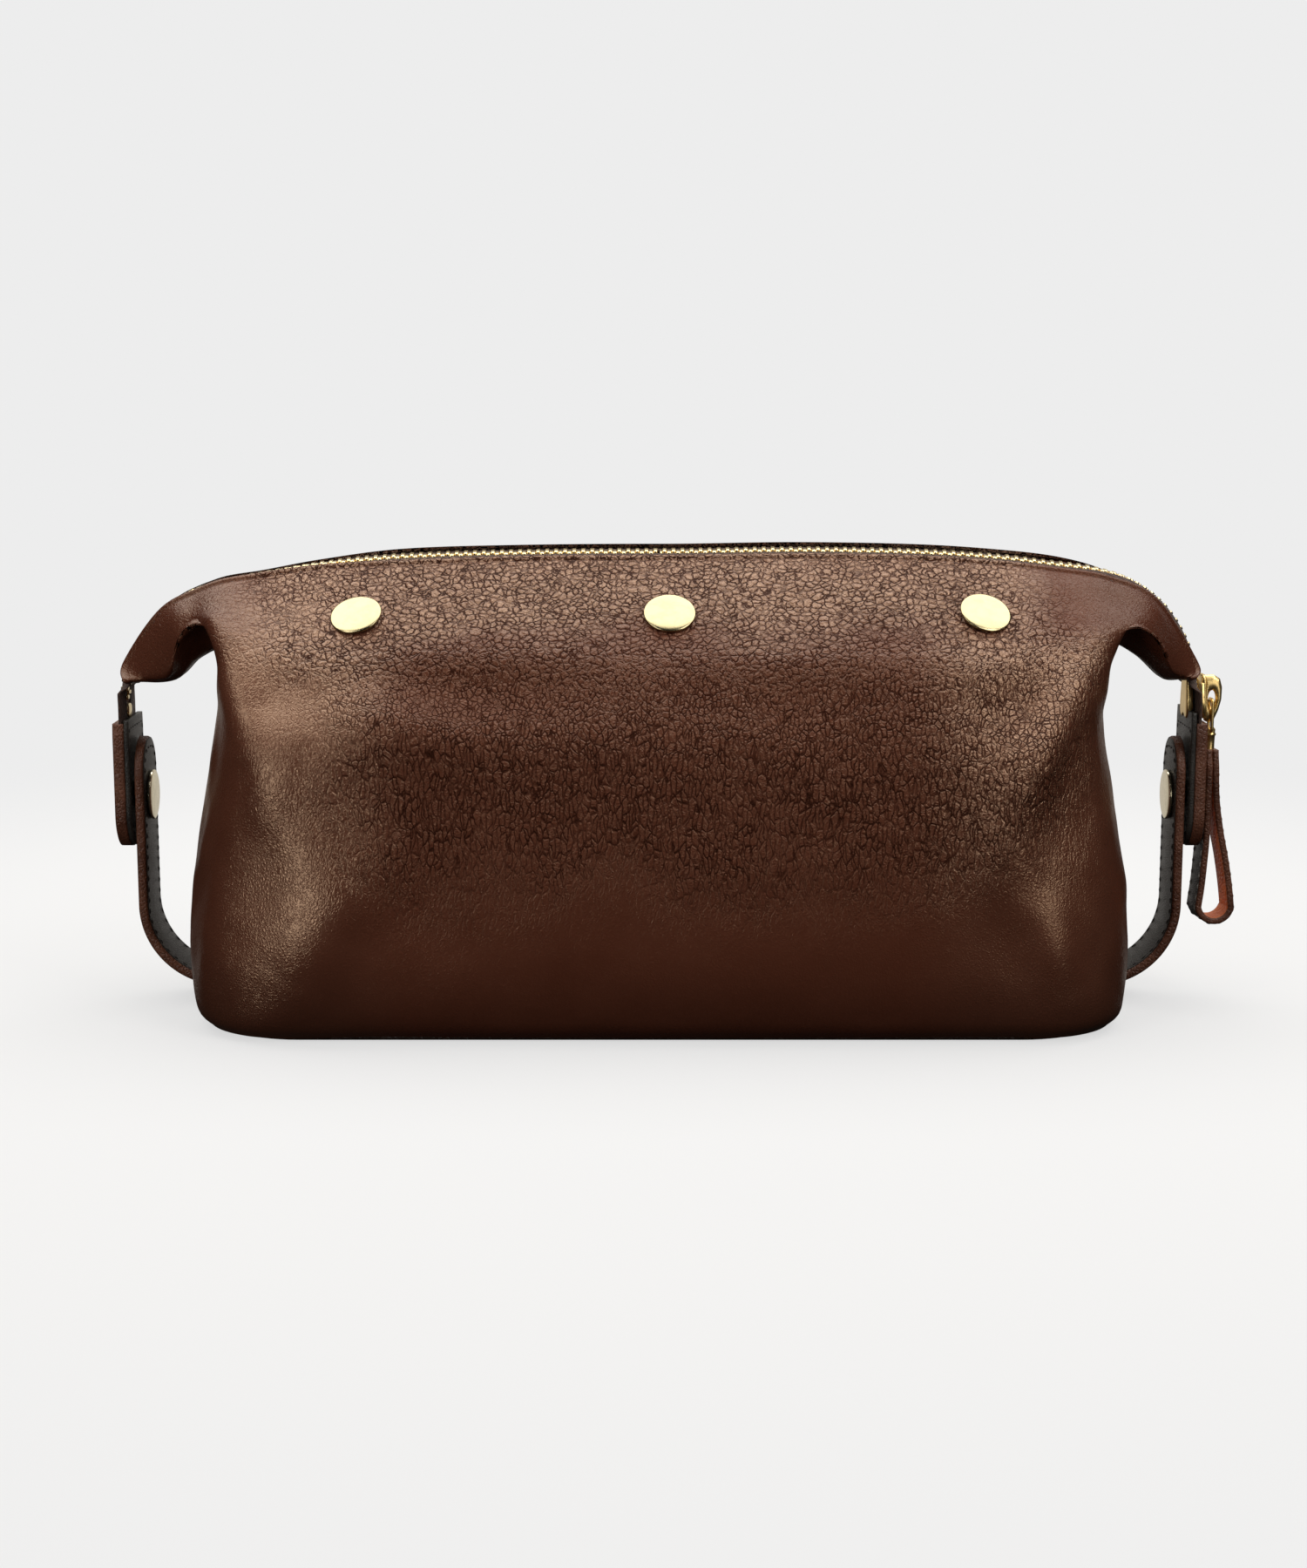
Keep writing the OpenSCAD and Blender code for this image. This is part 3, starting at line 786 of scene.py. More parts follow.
FRONT_FOLDS = (
    # left: the ridge down from the shoulder, and the hollow beside it
    (((-126, 115), (-115, 84)), 4.2, 3.0), (((-115, 84), (-106, 60)), 6.5, 1.8),
    (((-114, 108), (-98, 98)), 6, -1.6), (((-136, 119), (-130, 104)), 3.0, -2.2),
    # the dent below the left cap, and the shelf under it
    (((-84, 103), (-30, 97)), 6.0, -2.4), (((-98, 90), (-48, 87)), 6.5, 1.6),
    (((-60, 84), (0, 90)), 9, 0.7),
    # low at the left: a full bulge with a hollow on each side
    (((-84, 48), (-100, 18)), 8, 3.2), (((-66, 56), (-76, 22)), 10, -1.0),
    (((-106, 62), (-120, 34)), 6.5, -1.8),
    # right: the long ridge that runs down from the shoulder
    (((125, 108), (112, 92)), 4.0, 2.6), (((112, 92), (101, 73)), 4.5, 3.3), (((101, 73), (91, 50)), 6, 2.2),
    (((108, 104), (92, 86)), 6, -1.4), (((116, 82), (112, 50)), 7, -1.5),
    (((106, 36), (113, 14)), 4.5, 1.2), (((97, 34), (104, 16)), 5, -0.8), (((117, 40), (122, 20)), 4, -0.8),
    (((30, 104), (86, 100)), 8, 0.9), (((-10, 100), (60, 94)), 8, -0.8),
    (((-50, 26), (60, 24)), 12, 1.0),
)
BACK_FOLDS = (
    (((127, 116), (112, 82)), 6, 1.6), (((-127, 116), (-108, 80)), 6.5, 1.6),
    (((-108, 80), (-98, 60)), 8, 1.0), (((112, 82), (100, 62)), 8, 1.0),
    (((-70, 98), (10, 93)), 8, -1.5), (((30, 96), (84, 100)), 7.5, -1.3),
    (((95, 40), (112, 16)), 6, 1.4), (((-90, 36), (-112, 18)), 6.5, 1.3),
    (((-50, 30), (60, 24)), 15, 0.8),
)


def panel_grid(back):
    """The outer surface of one whole panel as a grid of points, from the left seam to the right one."""
    halves = []
    for side, sign in (("right", 1), ("left", -1)):
        here = body_net(side, back)
        before, after = here[:, 1] * [-1, 1, 1], here[:, -2] * [1, -1, 1]
        across = catmull(here.transpose(1, 0, 2), COLUMN_STEPS, before, after)
        rows = catmull(across.transpose(1, 0, 2), ROW_STEPS, 2 * across[:, 0] - across[:, 1],
                       2 * across[:, -1] - across[:, -2])
        halves.append(rows * [sign, -1 if back else 1, 1])
    grid = np.concatenate([halves[1][:, ::-1], halves[0][:, 1:]], 1)
    if back:
        grid = grid[:, ::-1]
    return grid


def grid_normals(grid):
    normal = np.cross(np.gradient(grid, axis=1), np.gradient(grid, axis=0))
    return normal / np.maximum(np.linalg.norm(normal, axis=-1), 1e-9)[..., None]


def shaped_panel(back):
    """The panel with its folds, wrinkles and turned edges: the grid, its normals and its edge distances."""
    grid = panel_grid(back)
    normal = grid_normals(grid)
    steps = np.linalg.norm(np.diff(grid, axis=0), axis=-1)
    below_lip = np.concatenate([np.cumsum(steps[::-1], 0)[::-1], np.zeros((1, grid.shape[1]))])
    above_base = np.concatenate([np.zeros((1, grid.shape[1])), np.cumsum(steps, 0)])
    steps = np.linalg.norm(np.diff(grid, axis=1), axis=-1)
    run = np.concatenate([np.zeros((grid.shape[0], 1)), np.cumsum(steps, 1)], 1)
    from_seam = np.minimum(run, run[:, -1:] - run)

    faces_out = np.clip(-normal[..., 1] if not back else normal[..., 1], 0, 1)
    push = sum(ridge(grid, e, w, h) for e, w, h in (BACK_FOLDS if back else FRONT_FOLDS)) * faces_out ** 0.5
    seed = 11 if back else 3
    calm = smooth_between(below_lip, 3, 14) * smooth_between(above_base, 2, 10)
    seam_calm = smooth_between(from_seam, 0.5, 8)
    push += 0.55 * lattice_noise(grid, (34, 34, 26), seed) * calm * seam_calm
    push += 0.22 * lattice_noise(grid, (13, 13, 11), seed + 1) * calm * seam_calm
    wrinkle_band = smooth_between(grid[..., 2], 32, 58) * (1 - smooth_between(grid[..., 2], 92, 108))
    push += 0.16 * lattice_noise(grid, (4.2, 4.2, 17), seed + 2) * wrinkle_band * calm
    ends = smooth_between(np.abs(grid[..., 0]), 112, 126) * calm * seam_calm
    push += 0.35 * lattice_noise(grid, (30, 5.5, 9), seed + 3) * ends
    # the turned edge at the zip: a rolled lip, then the groove that its stitching pulls in
    push += 0.30 * np.exp(-((below_lip - 0.9) / 0.6) ** 2)
    push -= 0.42 * np.exp(-((below_lip - GROOVE) / 0.40) ** 2)
    push -= 0.45 * np.exp(-(from_seam / 0.9) ** 2) * smooth_between(above_base, 1, 4)
    grid = grid + normal * push[..., None]
    return grid, grid_normals(grid), below_lip, from_seam


def sheet_mesh(name, grid, normal, thick, material):
    """A closed sheet of leather or cloth under a grid of outer points."""
    rows, cols = grid.shape[:2]
    outer = grid.reshape(-1, 3)
    inner = (grid - normal * thick).reshape(-1, 3)
    n = rows * cols
    index = np.arange(n).reshape(rows, cols)
    quads = np.stack([index[:-1, :-1], index[:-1, 1:], index[1:, 1:], index[1:, :-1]], -1).reshape(-1, 4)
    rim = np.concatenate([index[0], index[1:, -1], index[-1, -2::-1], index[-2:0:-1, 0]])
    after = np.roll(rim, -1)
    sides = np.stack([after, rim, rim + n, after + n], -1)
    faces = np.concatenate([quads, quads[:, ::-1] + n, sides])
    normals = np.concatenate([normal.reshape(-1, 3), -normal.reshape(-1, 3)])
    return add_mesh(name, np.concatenate([outer, inner]), faces, material, normals=normals)


def fold_right(piece):
    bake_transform(piece)


def fold_left(piece):
    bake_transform(piece)


LINING_IN = 2.0       # the lining starts this far inside the leather's outer face
GROOVE = 2.0          # the stitched groove runs this far below the zip-side edge
SEAM_ROW = 2.6        # stitches beside the end seam are this far from it
ZIP_ROW_END = 150.0   # the stitches along the zip end at this |x|


def groove_line(grid, normal, below_lip, columns):
    """Points and normals along the groove below the zip-side edge."""
    line = []
    for c in np.arange(grid.shape[1])[columns]:
        r = int(np.argmin(abs(below_lip[:, c] - GROOVE)))
        if abs(grid[r, c, 0]) < ZIP_ROW_END:
            line.append((grid[r, c], normal[r, c]))
    return map(np.array, zip(*line))


def seam_line(grid, normal, from_seam, edge):
    """Points and normals beside the end seam, whose column is 0 or -1."""
    line = []
    for r in range(8, grid.shape[0] - 30):
        c = edge
        while from_seam[r, c] < SEAM_ROW:
            c += -1 if edge == -1 else 1
        line.append((grid[r, c], normal[r, c]))
    return map(np.array, zip(*line))


def leather_body(leather, lining, thread_brown):
    """Both panels, each split in the middle, with linings and stitching."""
    for which, back in (("front", False), ("back", True)):
        grid, normal, below_lip, from_seam = shaped_panel(back)
        thick = 1.6 - 1.0 * smooth_between(abs(grid[..., 0]), 112, 124) * smooth_between(grid[..., 2], 88, 98)
        middle = grid.shape[1] // 2
        first, second = ("right", "left") if back else ("left", "right")
        for side, columns in ((first, slice(0, middle + 1)), (second, slice(middle, None))):
            fold = fold_left if side == "left" else fold_right
            skin = sheet_mesh(f"{which}_leather_{side}", grid[:, columns], normal[:, columns],
                              thick[:, columns, None], leather)
            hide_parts(f"{which}_panel", f"{side}_ear_{which}_leaf")
            fold(skin)
            inside = (slice(4, sum(ROW_STEPS[:7]), 2), columns)
            inner_normal = normal[inside][:, ::2]
            inner = grid[inside][:, ::2] - inner_normal * LINING_IN
            cloth_skin = sheet_mesh(f"{which}_lining_{side}", inner, inner_normal, 0.5, lining)
            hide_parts(f"{which}_lining")
            fold(cloth_skin)
            threads = Parts()
            zip_row = groove_line(grid, normal, below_lip, columns)
            stitches(threads, *zip_row, pitch=2.9, length=2.1, radius=0.2)
            seam_row = seam_line(grid, normal, from_seam, 0 if side == first else -1)
            stitches(threads, *seam_row, pitch=3.4, length=2.4)
            fold(threads.build(f"{which}_stitches_{side}", thread_brown, "leather_brown"))


def base_piece(leather, thread_dark):
    """The base leather: a dark plate with a turned edge and one row of stitches underneath."""
    _, hi = node_box("base_panel")
    corner_r, groove = 27, 4.0
    mid_x, mid_y = hi[0] - corner_r, hi[1] - corner_r

    def ring(inset, z, n=16):
        r, out = corner_r - inset, []
        for cx, cy, a0 in ((1, -1, -90), (1, 1, 0), (-1, 1, 90), (-1, -1, 180)):
            for a in np.radians(np.linspace(a0, a0 + 90, n)):
                out.append((cx * mid_x + r * math.cos(a), cy * mid_y + r * math.sin(a), z))
        return out

    profile = ((22, 2.0), (1.2, 2.0), (0.35, 1.8), (0.0, 1.2), (0.3, 0.45), (1.1, 0.05), (3.4, 0.0),
               (groove, 0.22), (4.6, 0.0), (22, 0.0))
    rings = [ring(inset, z) for inset, z in profile]
    plate_form = np.concatenate(rings), closed_faces(len(rings), len(rings[0]))
    base = build_piece("base_leather", leather, "leather_dark", plate_form)
    fix(base, "bag_body", "base_panel")
    threads = Parts()
    row = ring(groove, 0.30)
    line = np.array(row + row[:1])
    down = np.tile([0.0, 0.0, -1.0], (len(line), 1))
    stitches(threads, line, down, pitch=3.6, length=2.5, radius=0.22, lift=-0.1)
    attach(threads.build("base_stitches", thread_dark, "leather_dark"), "bag_body")


# ---------------------------------------------------------------- the zip

# half width across the tape, half run and half height of a tooth, from its stem to its head
TOOTH_PROFILE = ((2.75, 0.62, 0.80), (2.5, 0.68, 1.02), (1.2, 0.68, 1.05), (0.2, 0.66, 1.0),
                 (-0.45, 0.55, 0.92), (-0.72, 0.34, 0.7))
OCTAGON = ((1, 0.7), (0.7, 1), (-0.7, 1), (-1, 0.7), (-1, -0.7), (-0.7, -1), (0.7, -1), (1, -0.7))


def tooth(path, run, side):
    """One cast tooth: a stem clamped on the tape and a rounded head across the middle line."""
    mirror = 1 if path.side == "right" else -1
    points = [path.place(run + half_run * a, y * side, half_high * b) * [mirror, 1, 1]
              for y, half_run, half_high in TOOTH_PROFILE for a, b in OCTAGON]
    return points, closed_faces(len(TOOTH_PROFILE), len(OCTAGON))


def tape_strip(path, runs, side):
    """One half of the tape with its corded edge, along the given runs; runs below 0 lie on the other side."""
    points = []
    for run in runs:
        here = path if run >= 0 else ZIPS["left"]
        mirror = -1 if here.side == "left" else 1
        p, _, _ = here.at(abs(run))
        bare = smooth_between(-p[1], -96.5, -93)
        wide = 7.2 + 3.3 * bare
        cord = [(1.9, 0.0), (2.3, 0.62), (2.9, 0.62), (3.4, 0.32), (wide, 0.32), (wide + 0.15, 0.0),
                (wide, -0.32), (3.4, -0.32), (2.9, -0.62), (2.3, -0.62)]
        for y, d in cord:
            sag = 0.9 * max(0.0, y - 4.4) * (1 - bare)
            points.append(here.place(abs(run), y * side, d - sag) * [mirror, 1, 1])
    return points, closed_faces(len(runs), len(cord))


def zip_pieces(brass_teeth, tape_cloth):
    right, left = ZIPS["right"], ZIPS["left"]
    splits = {"right": right.run_at(x=SPLIT_X), "left": left.run_at(x=SPLIT_X)}
    ends = {"right": right.run_at(z=SLIDER_LO[2] + 4), "left": left.run_at(z=90)}
    for side, which in ((-1, "front"), (1, "back")):
        offset = 0 if side < 0 else TOOTH_PITCH / 2
        groups = {"middle": Parts(), "right": Parts(), "left": Parts()}
        for path, first, shift in ((right, 0, offset), (left, 1, -offset)):
            runs = np.arange(first, 200) * TOOTH_PITCH + shift
            for run in runs[runs < ends[path.side]]:
                name = "middle" if run < splits[path.side] else path.side
                groups[name].add(*tooth(path, run, side))
        for name, parts in groups.items():
            piece = parts.build(f"teeth_{which}_{name}", brass_teeth, "brass")
            place_zip_piece(piece, name, f"zip_teeth_{which}", f"{name}_teeth_{which}")
        for name in groups:
            if name == "middle":
                strip = tape_strip(right, np.linspace(-splits["left"], splits["right"], 91), side)
            else:
                path = ZIPS[name]
                cut = path.run_at(z=TAPE_CUT_Z)
                strip = tape_strip(path, np.linspace(splits[name], cut + 0.5, 90), side)
                tail = tape_strip(path, np.linspace(cut, path.run[-1], 20), side)
                piece = build_piece(f"tape_{which}_{name}_end", tape_cloth, "lining_cloth", tail)
                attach(piece, f"{name}_ear")
            piece = build_piece(f"tape_{which}_{name}", tape_cloth, "lining_cloth", strip)
            place_zip_piece(piece, name, f"zip_tape_{which}", f"{name}_tape_{which}")


def place_zip_piece(piece, name, middle_node, end_node):
    if name == "middle":
        fix(piece, "bag_body", middle_node)
    else:
        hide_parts(end_node)
        (fold_right if name == "right" else fold_left)(piece)


def stops(brass_teeth):
    """The clamped stops at both ends of the zip."""
    for node, body, mirror in (("left_bottom_stop", "left_ear", -1), ("right_top_stops", "right_ear", 1)):
        lo, hi = node_box(node)
        parts = Parts()
        spots = [(0.0, (hi[1] - lo[1]) / 2)] if mirror < 0 else [(-2.4, 0.9), (2.4, 0.9)]
        mid_z, half_z = (lo[2] + hi[2]) / 2, (hi[2] - lo[2]) / 2
        for y, half_y in spots:
            points = []
            for u, f in ((-1, 0.55), (-0.9, 0.85), (-0.6, 1), (0.6, 1), (0.9, 0.85), (1, 0.55)):
                for a in np.radians(np.arange(0, 360, 15)):
                    c, s = math.cos(a), math.sin(a)
                    x = 1.2 * f * math.copysign(abs(c) ** 0.45, c)
                    w = half_y * f * math.copysign(abs(s) ** 0.45, s)
                    points.append((mirror * (TIP_X + x * mirror), y + w, mid_z + half_z * u))
            parts.add(points, closed_faces(6, 24))
        fix(parts.build(f"{node}_clamped", brass_teeth, "brass"), body, node)


# ---------------------------------------------------------------- snaps, tabs and straps

CAP_RADIUS = 7.5
CAP_Z = 117.3           # height of the front caps on the panel


def cap_places():
    """x of the middle of each front cap, from the frame."""
    lo, hi = node_box("front_snap_caps")
    half = (hi[0] - lo[0]) / 2 - CAP_RADIUS
    mid = (hi[0] + lo[0]) / 2
    return [mid + k * half for k in (-1, 0, 1)]


def seat(grid, normal, x, z_like):
    """Where the front panel's surface passes near (x, z), with its smoothed normal."""
    d = (grid[..., 0] - x) ** 2 + (grid[..., 2] - z_like) ** 2 + (grid[..., 1] > 0) * 1e6
    r, c = np.unravel_index(np.argmin(d), d.shape)
    near = (abs(grid[..., 0] - x) < 8) & (abs(grid[..., 2] - z_like) < 6)
    n = normal[near].mean(0)
    return grid[r, c], n / np.linalg.norm(n)


def front_caps(polished, tilts):
    """The three caps, each seated on the panel and turned a little to its own side."""
    grid, normal, _, _ = shaped_panel(False)
    caps = []
    for x, tilt in zip(cap_places(), tilts):
        spot, n = seat(grid, normal, x, CAP_Z)
        n = n + np.array([tilt, 0, 0])
        n /= np.linalg.norm(n)
        caps.append(snap_cap(3.0, 1.45, 0.15, spot - n * 0.25, n))
    fix(build_piece("front_caps", polished, "brass", *caps), "bag_body", "front_snap_caps")


def strap_line():
    """Middle line of the right strap in (x, z), from inside the base seam to the rounded top."""
    mid = STRAP_HI[0] - 1.4
    bend = STRAP_HI[0] - 24.6
    return np.vstack([[[131.2, 6.6]], arc(bend, 29.6, mid - bend, -76, 0, 40), [[mid, STRAP_HI[2]]]])


STRAP_HALF, TAB_HALF = 10.0, 11.0       # half widths
STRAP_ROW = 2.2                         # the strap's stitches are this far inside its edge
TAB_ROW = 2.0


def round_tip(run, half, radius, centre, least):
    """Half widths of a strip with a round tip, by the run from the tip: radius round a point `centre` up."""
    return np.where(run < half, np.sqrt(np.maximum(radius ** 2 - (centre - run) ** 2, least)), radius)


def strap_stitches(path, normal, edge):
    """A row of stitches round the inner face and one round the outer face, `edge` from the middle."""
    threads = Parts()
    inward = at_y(normal, np.zeros(len(normal)))
    for lift, pitch, length, radius in ((1.55, 3.2, 2.1, 0.28), (-1.3, 2.7, 1.9, 0.24)):
        face = path + normal * lift
        loop = np.concatenate([at_y(face, -edge), at_y(face, edge)[::-1]])
        facing = np.concatenate([inward, inward[::-1]]) * math.copysign(1.0, lift)
        stitches(threads, loop, facing, pitch=pitch, length=length, radius=radius)
    return threads


def strap_pieces(brown, black, polished, thread_dark):
    """Each strap: brown leather, its black lining, their stitches and the cap of its snap."""
    line, run = resample(strap_line(), 0.8)
    from_top = run[-1] - run
    widths = round_tip(from_top, STRAP_HALF, STRAP_HALF, STRAP_HALF, 0.3)
    edge = round_tip(from_top, STRAP_HALF, STRAP_HALF - STRAP_ROW, STRAP_HALF, 0)
    sewn = from_top > 2.4
    for side, sign in (("left", -1), ("right", 1)):
        path = line * [sign, 1]
        body = f"{side}_strap"
        points, faces, _, _ = band(path, widths, 2.6, 0.75)
        piece = add_mesh(f"{side}_strap_brown", points, faces, brown)
        fix(piece, body, f"{side}_strap_leather")
        normal = left_of(path) * sign
        points, faces, _, _ = band((path + normal * 1.2)[:-1], np.maximum(widths - 0.9, 0.2)[:-1], 0.7, 0.3)
        piece = add_mesh(f"{side}_strap_black", points, faces, black)
        fix(piece, body, f"{side}_strap_lining")
        threads = strap_stitches(path[sewn], normal[sewn], edge[sewn])
        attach(threads.build(f"{side}_strap_stitches", thread_dark, "leather_dark"), body)
        cap = snap_cap(1.4, 1.5, 0.1, (sign * (STRAP_HI[0] - 2.95), 0, SNAP_Z), (-sign, 0, 0))
        fix(build_piece(f"{side}_strap_cap_polished", polished, "brass", cap), body, f"{side}_strap_cap")


def tab_layer(x, thick, drop, top):
    """One leather layer of a tab, round below: x of its middle, and how far its tip is above the tab's."""
    half, low = TAB_HALF - drop, TAB_LO[2]
    z = resample([[0.0, low + drop], [0.0, top]], 0.6)[0][:, 1]
    up = z - low - drop
    tip = np.minimum(round_tip(up, TAB_HALF, half, half, 0.3), half)
    widths = np.where(up < TAB_HALF, tip, half - 0.35 * smooth_between(z, top - 4, top))
    points, faces, _, _ = band(np.stack([np.full(len(z), x), z], 1), widths, thick, 0.6)
    return points, faces


def tab_stitches(sign):
    """A row of stitches round each face of a tab."""
    threads = Parts()
    inset, top = TAB_HALF - TAB_ROW, TAB_HI[2] - 1.6
    turn = np.radians(np.linspace(0, -180, 40))
    mid_z = TAB_LO[2] + TAB_HALF
    outline = [(inset, top), *[(inset * math.cos(a), mid_z + inset * math.sin(a)) for a in turn],
               (-inset, top), (inset, top)]
    for x, out in ((TAB_HI[0], 1), (TAB_IN_LO[0], -1)):
        line = np.array([(sign * x, y, z) for y, z in outline])
        facing = np.tile([sign * out, 0.0, 0.0], (len(line), 1))
        stitches(threads, line, facing, pitch=2.8, length=1.9, radius=0.24)
    return threads


def tab_snap(sign, tip):
    """The stud on a tab's inner face, its post and the low cap on the outer face, from its tip outwards."""
    reach = abs(abs(tip) - TAB_IN_LO[0])
    outer = reach + TAB_HI[0] - TAB_IN_LO[0]
    profile = [(0.02, 0), (1.2, 0.0), (1.6, 0.15), (1.75, 0.5), (1.55, 1.1), (1.5, reach - 0.55),
               (3.6, reach - 0.55), (4.0, reach - 0.4), (4.0, reach), (1.2, reach), (1.2, outer), (5.4, outer)]
    return lathe(profile + dome_profile(6.0, 0.85, outer + 0.05)[1:], (tip, 0, SNAP_Z), (sign, 0, 0))


def tab_pieces(brown, black, polished, thread_dark):
    """Each tab: its two layers of leather, their stitches and the stud that its strap snaps to."""
    for side, sign in (("left", -1), ("right", 1)):
        body = f"{side}_ear"
        inner_top = TAB_HI[2] + (1.0 if sign < 0 else 3.2)
        for name, x0, x1, top, material, slot, node, drop in (
                ("brown", 157.0, TAB_HI[0], TAB_HI[2], brown, "leather_brown", "tab_outer", 0.0),
                ("black", TAB_IN_LO[0], 157.1, inner_top, black, "leather_dark", "tab_inner", 0.3)):
            points, faces = tab_layer(sign * ((x0 + x1) / 2), x1 - x0, drop, top)
            fix(add_mesh(f"{side}_tab_{name}", points, faces, material), body, f"{side}_{node}")
        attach(tab_stitches(sign).build(f"{side}_tab_stitches", thread_dark, "leather_dark"), body)
        stud_lo, stud_hi = node_box(f"{side}_tab_stud")
        snap = tab_snap(sign, stud_lo[0] if sign > 0 else stud_hi[0])
        fix(build_piece(f"{side}_tab_snap", polished, "brass", snap), body, f"{side}_tab_stud")


# ---------------------------------------------------------------- slider and pull

def plate(outline, x0, x1, round_by=0.25):
    """A flat cast plate with softened edges, between two x values. outline holds (y, z) points."""
    outline = np.array(outline, float)
    mid = outline.mean(0)
    rings = []
    edge = 1 - 0.09
    for x, f in ((x0, 0.4), (x0, edge), (x0 + round_by, 1.0), (x1 - round_by, 1.0), (x1, edge), (x1, 0.4)):
        rings.append([(x, *(mid + (p - mid) * f)) for p in outline])
    return np.concatenate(rings), closed_faces(len(rings), len(outline))


def slider_outline():
    """Outline of a slider plate: two rounded lobes below, drawn in to a narrower tail above."""
    z0, z1 = SLIDER_LO[2], SLIDER_HI[2]
    mid_z = (z0 + z1) / 2
    right = [(0.7, z0 + 1.0), (1.6, z0 + 0.25), (2.9, z0), (4.1, z0 + 0.5), (4.9, z0 + 1.8),
             (5.0, mid_z - 2.5), (4.8, mid_z), (4.3, mid_z + 2.6), (3.9, z1 - 1.4), (3.2, z1 - 0.4), (1.8, z1)]
    return right + [(-y, z) for y, z in right[::-1]]


def slider_body(polished):
    """Two plates joined by a post between the tapes, with a flange down each side."""
    x0, x1, z0, z1 = SLIDER_LO[0], SLIDER_HI[0], SLIDER_LO[2], SLIDER_HI[2]
    forms = [plate(slider_outline(), x1 - 1.05, x1), plate(slider_outline(), x0, x0 + 1.05)]
    for s in (-1, 1):
        flange = [(s * 4.1, z0 + 1.2), (s * 4.95, z0 + 1.6), (s * 5.0, z0 + 5), (s * 4.2, z1 - 2.4),
                  (s * 3.5, z1 - 2.2), (s * 4.2, z0 + 5)]
        forms += [plate(flange, x1 - 1.7, x1 - 0.5, 0.12), plate(flange, x0 + 0.5, x0 + 1.7, 0.12)]
    post = [(0.55, z0 + 0.6), (0.62, z0 + 2.0), (0.1, z0 + 4.4), (-0.1, z0 + 4.4), (-0.62, z0 + 2.0),
            (-0.55, z0 + 0.6)]
    piece = build_piece("slider", polished, "brass", *forms, plate(post, x0 + 0.6, x1 - 0.6, 0.1))
    fix(piece, "slider", "slider_body")


def bail(polished):
    """The domed plate on the slider, pierced by the eye that the wire link hangs in."""
    face = BAIL_LO[0]
    outer = [(0.0, 6.2), (2.9, 6.3), (4.7, 5.2), (5.4, 2.6), (5.3, -1.0), (4.5, -4.2), (3.4, -6.8),
             (1.9, -8.0), (0.4, -7.4), (0.0, -5.5)]
    section = ((0.0, 0.7), (0.12, 1.1), (0.4, 1.35), (0.7, 1.2), (0.92, 0.8), (1.0, 0.4))
    section = [(f, -y) for f, y in section] + [(f, y) for f, y in section[::-1]]
    eye = np.array([face + 2.45, EYE_Z])
    outline = resample([(face + dx, EYE_Z + 0.7 + dz) for dx, dz in outer + outer[:1]], 0.4)[0][:-1]
    rings = []
    for q in outline:
        way = (q - eye) / np.linalg.norm(q - eye)
        rim = eye + way / math.sqrt((way[0] / 1.2) ** 2 + (way[1] / 2.5) ** 2)
        for f, y in section:
            at = rim + (q - rim) * f
            rings.append((at[0], y, at[1]))
    form = rings, ring_faces(len(outline), len(section), closed=True)
    fix(build_piece("bail", polished, "brass", form), "slider", "slider_bail")


PULL_X = (LINK_LO[0] + LINK_HI[0]) / 2


def wire_link(metal):
    y_half, z0, z1 = LINK_HI[1] - 0.5, LINK_LO[2] + 0.5, LINK_HI[2] - 0.5
    r = 1.1
    corners = ((y_half - r, z0 + r, -90), (y_half - r, z1 - r, 0), (-y_half + r, z1 - r, 90),
               (-y_half + r, z0 + r, 180))
    path = [(PULL_X, cy + r * math.cos(a), cz + r * math.sin(a)) for cy, cz, a0 in corners
            for a in np.radians(np.linspace(a0, a0 + 90, 9))]
    fix(build_piece("wire_link", metal, "brass", tube(path, 0.5, 16, closed=True)), "link", "pull_link")


def ferrule(metal):
    lo, hi = node_box("pull_ferrule")
    h = hi[2] - lo[2]
    profile = [(0.02, -0.6), (1.5, -0.6), (1.75, -0.35), (1.5, 0.0), (1.38, 0.4), (1.42, 3.2), (1.5, h - 2.6),
               (1.75, h - 2.35), (1.75, h - 1.9), (1.5, h - 1.7), (1.55, h - 0.7), (1.2, h - 0.15), (0.02, h)]
    piece = build_piece("ferrule", metal, "brass", lathe(profile, (PULL_X, 0, lo[2]), (0, 0, 1), 40))
    fix(piece, "pull", "pull_ferrule")


def pull_line():
    """Middle line of the folded strip: down the inner leg, round the bottom and up the outer one."""
    x, top = PULL_X, LOOP_HI[2] + 1.2
    bottom_x, bottom_z = LOOP_HI[0] - 5.85, LOOP_LO[2] + 5.8
    key = [(x - 0.95, top), (x - 1.0, 62.0), (x - 1.1, 50.0), (x - 1.5, 42.0), (x - 2.1, 34.0)]
    key += [tuple(p) for p in arc(bottom_x, bottom_z, 4.85, 184, 356, 14)]
    key += [(x + 6.0, 35.0), (x + 4.6, 43.0), (x + 2.9, 51.0), (x + 1.5, 60.0), (x + 1.0, 68.0),
            (x + 0.95, top)]
    key = np.array(key)
    return catmull(key, [6] * (len(key) - 1), 2 * key[0] - key[1], 2 * key[-1] - key[-2])


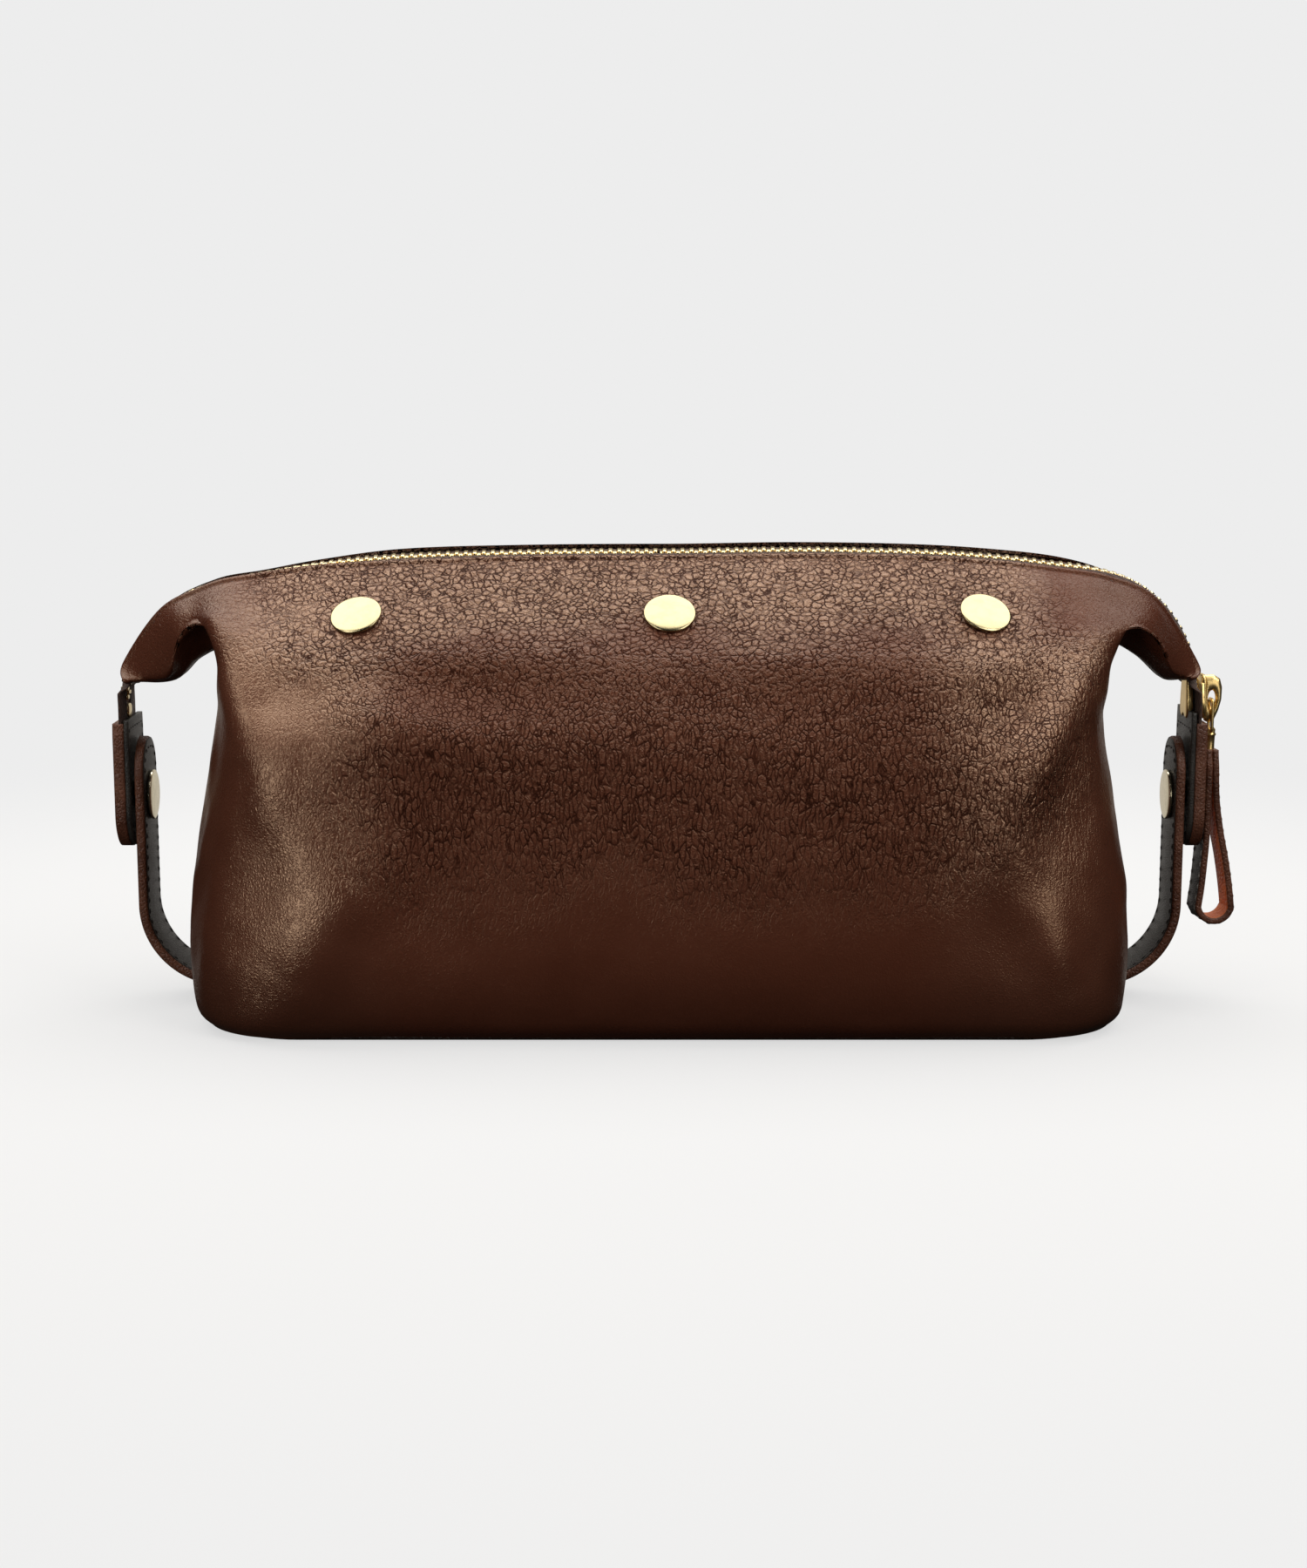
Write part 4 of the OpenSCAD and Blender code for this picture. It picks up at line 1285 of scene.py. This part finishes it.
def pull_loop(brown, flesh, black, pale_thread):
    """The folded strip, flesh side in, with a row of stitches along both edges of its outer face."""
    path, run = resample(pull_line(), 0.7)
    half = run[-1] / 2
    widths = 4.5 - 1.1 * smooth_between(np.abs(run - half), half - 6, half)
    points, faces, on_left, on_right = band(path, widths, 1.85, 0.55)
    looks = on_left + 2 * on_right
    piece = add_mesh("pull_leather", points, faces, [brown, flesh, black], looks)
    fix(piece, "pull", "pull_loop")
    out = -left_of(path)
    face = path + out * 0.9
    facing = at_y(out, np.zeros(len(path)))
    threads = Parts()
    for side in (-1, 1):
        row = at_y(face, side * (widths - 1.1))
        stitches(threads, row[8:-8], facing[8:-8], pitch=3.3, length=1.9, radius=0.24, lift=-0.03)
    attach(threads.build("pull_stitches", pale_thread, "leather_dark"), "pull")


def rivet(metal):
    lo, hi = node_box("pull_rivet")
    z = (lo[2] + hi[2]) / 2
    stem = [(0.02, -4.4), (1.5, -4.4), (1.7, -4.2), (1.0, -4.0), (1.0, 0.0)]
    form = lathe(stem + dome_profile(1.7, 0.6, 0.0)[1:], (PULL_X + 2.2, 0, z), (1, 0, 0), 32)
    fix(build_piece("rivet", metal, "brass", form), "pull", "pull_rivet")


def turn_loop():
    """Turns the hanging loop a little to the front."""
    for name in ("pull_leather", "pull_stitches"):
        for vertex in bpy.data.objects[name].data.vertices:
            vertex.co.x -= LOOP_TURN * vertex.co.y


# ---------------------------------------------------------------- put together

def paint_cad(materials):
    """Gives each CAD node that stays its own detailed material."""
    record = frame["record"]
    slots = {s["node"]: s["material_slot"] for s in record["subparts"]}
    for name, obj in NODES.items():
        material = materials[slots[name]]
        if not obj.material_slots:
            obj.data.materials.append(material)
        for s in obj.material_slots:
            s.material = material


def main():
    stage_and_camera()
    leather = body_leather()
    lining = cloth("lining_cloth_look", (0.030, 0.022, 0.018), (0.055, 0.042, 0.033), 0.0009)
    tape = cloth("zip_tape", (0.026, 0.011, 0.007), (0.060, 0.026, 0.015))
    strap_brown = plain_leather("strap_leather", (0.085, 0.029, 0.015), (0.16, 0.060, 0.032))
    strap_black = plain_leather("strap_lining", (0.018, 0.016, 0.014), (0.038, 0.034, 0.029),
                                1300.0, 0.0001, 0.42)
    # the flesh side's own orange, painted brighter to stand in for light falling on the loop's inner face
    flesh = plain_leather("loop_inside", (0.46, 0.105, 0.022), (0.68, 0.18, 0.04), 700.0, 0.0002, 0.5)
    base = plain_leather("base_leather", (0.016, 0.009, 0.007), (0.03, 0.018, 0.014), 700.0, 0.0002, 0.5)
    # painted shade: this brass is a darker copy of the pale brass below, for the front caps and tab snaps
    # under the strong top light
    polished = brass("shade_darkened_brass", (0.44, 0.375, 0.215), 0.17)
    pale = brass("pale_brass", (0.95, 0.86, 0.62), 0.17)
    gilt = brass("gilt_brass", (0.95, 0.70, 0.30), 0.30)
    teeth = brass("tooth_brass", (0.86, 0.70, 0.40), 0.24)
    thread_brown = thread("brown_thread", (0.045, 0.019, 0.011), (0.09, 0.042, 0.026))
    thread_dark = thread("black_thread", (0.008, 0.007, 0.007), (0.03, 0.027, 0.026))
    thread_pale = thread("pale_thread", (0.30, 0.29, 0.26), (0.48, 0.46, 0.42))
    paint_cad({
        "leather_brown": inner_material("inner_brown", (0.05, 0.02, 0.012), (0.08, 0.035, 0.02)),
        "leather_dark": inner_material("inner_black", (0.015, 0.012, 0.01), (0.03, 0.025, 0.022)),
        "lining_cloth": inner_material("inner_cloth", (0.03, 0.022, 0.018), (0.06, 0.045, 0.035), 0.85),
        "brass": inner_material("inner_brass", (0.72, 0.58, 0.33), (0.85, 0.7, 0.42), 0.22, 1.0),
        "board": inner_material("inner_board", (0.10, 0.085, 0.07), (0.17, 0.15, 0.12), 0.85),
    })
    leather_body(leather, lining, thread_brown)
    base_piece(base, thread_dark)
    zip_pieces(teeth, tape)
    stops(teeth)
    front_caps(polished, (-0.10, 0.0, 0.10))
    strap_pieces(strap_brown, strap_black, pale, thread_dark)
    tab_pieces(strap_brown, strap_black, polished, thread_dark)
    slider_body(gilt)
    bail(gilt)
    wire_link(gilt)
    ferrule(gilt)
    pull_loop(strap_brown, flesh, strap_black, thread_pale)
    rivet(gilt)
    turn_loop()


main()
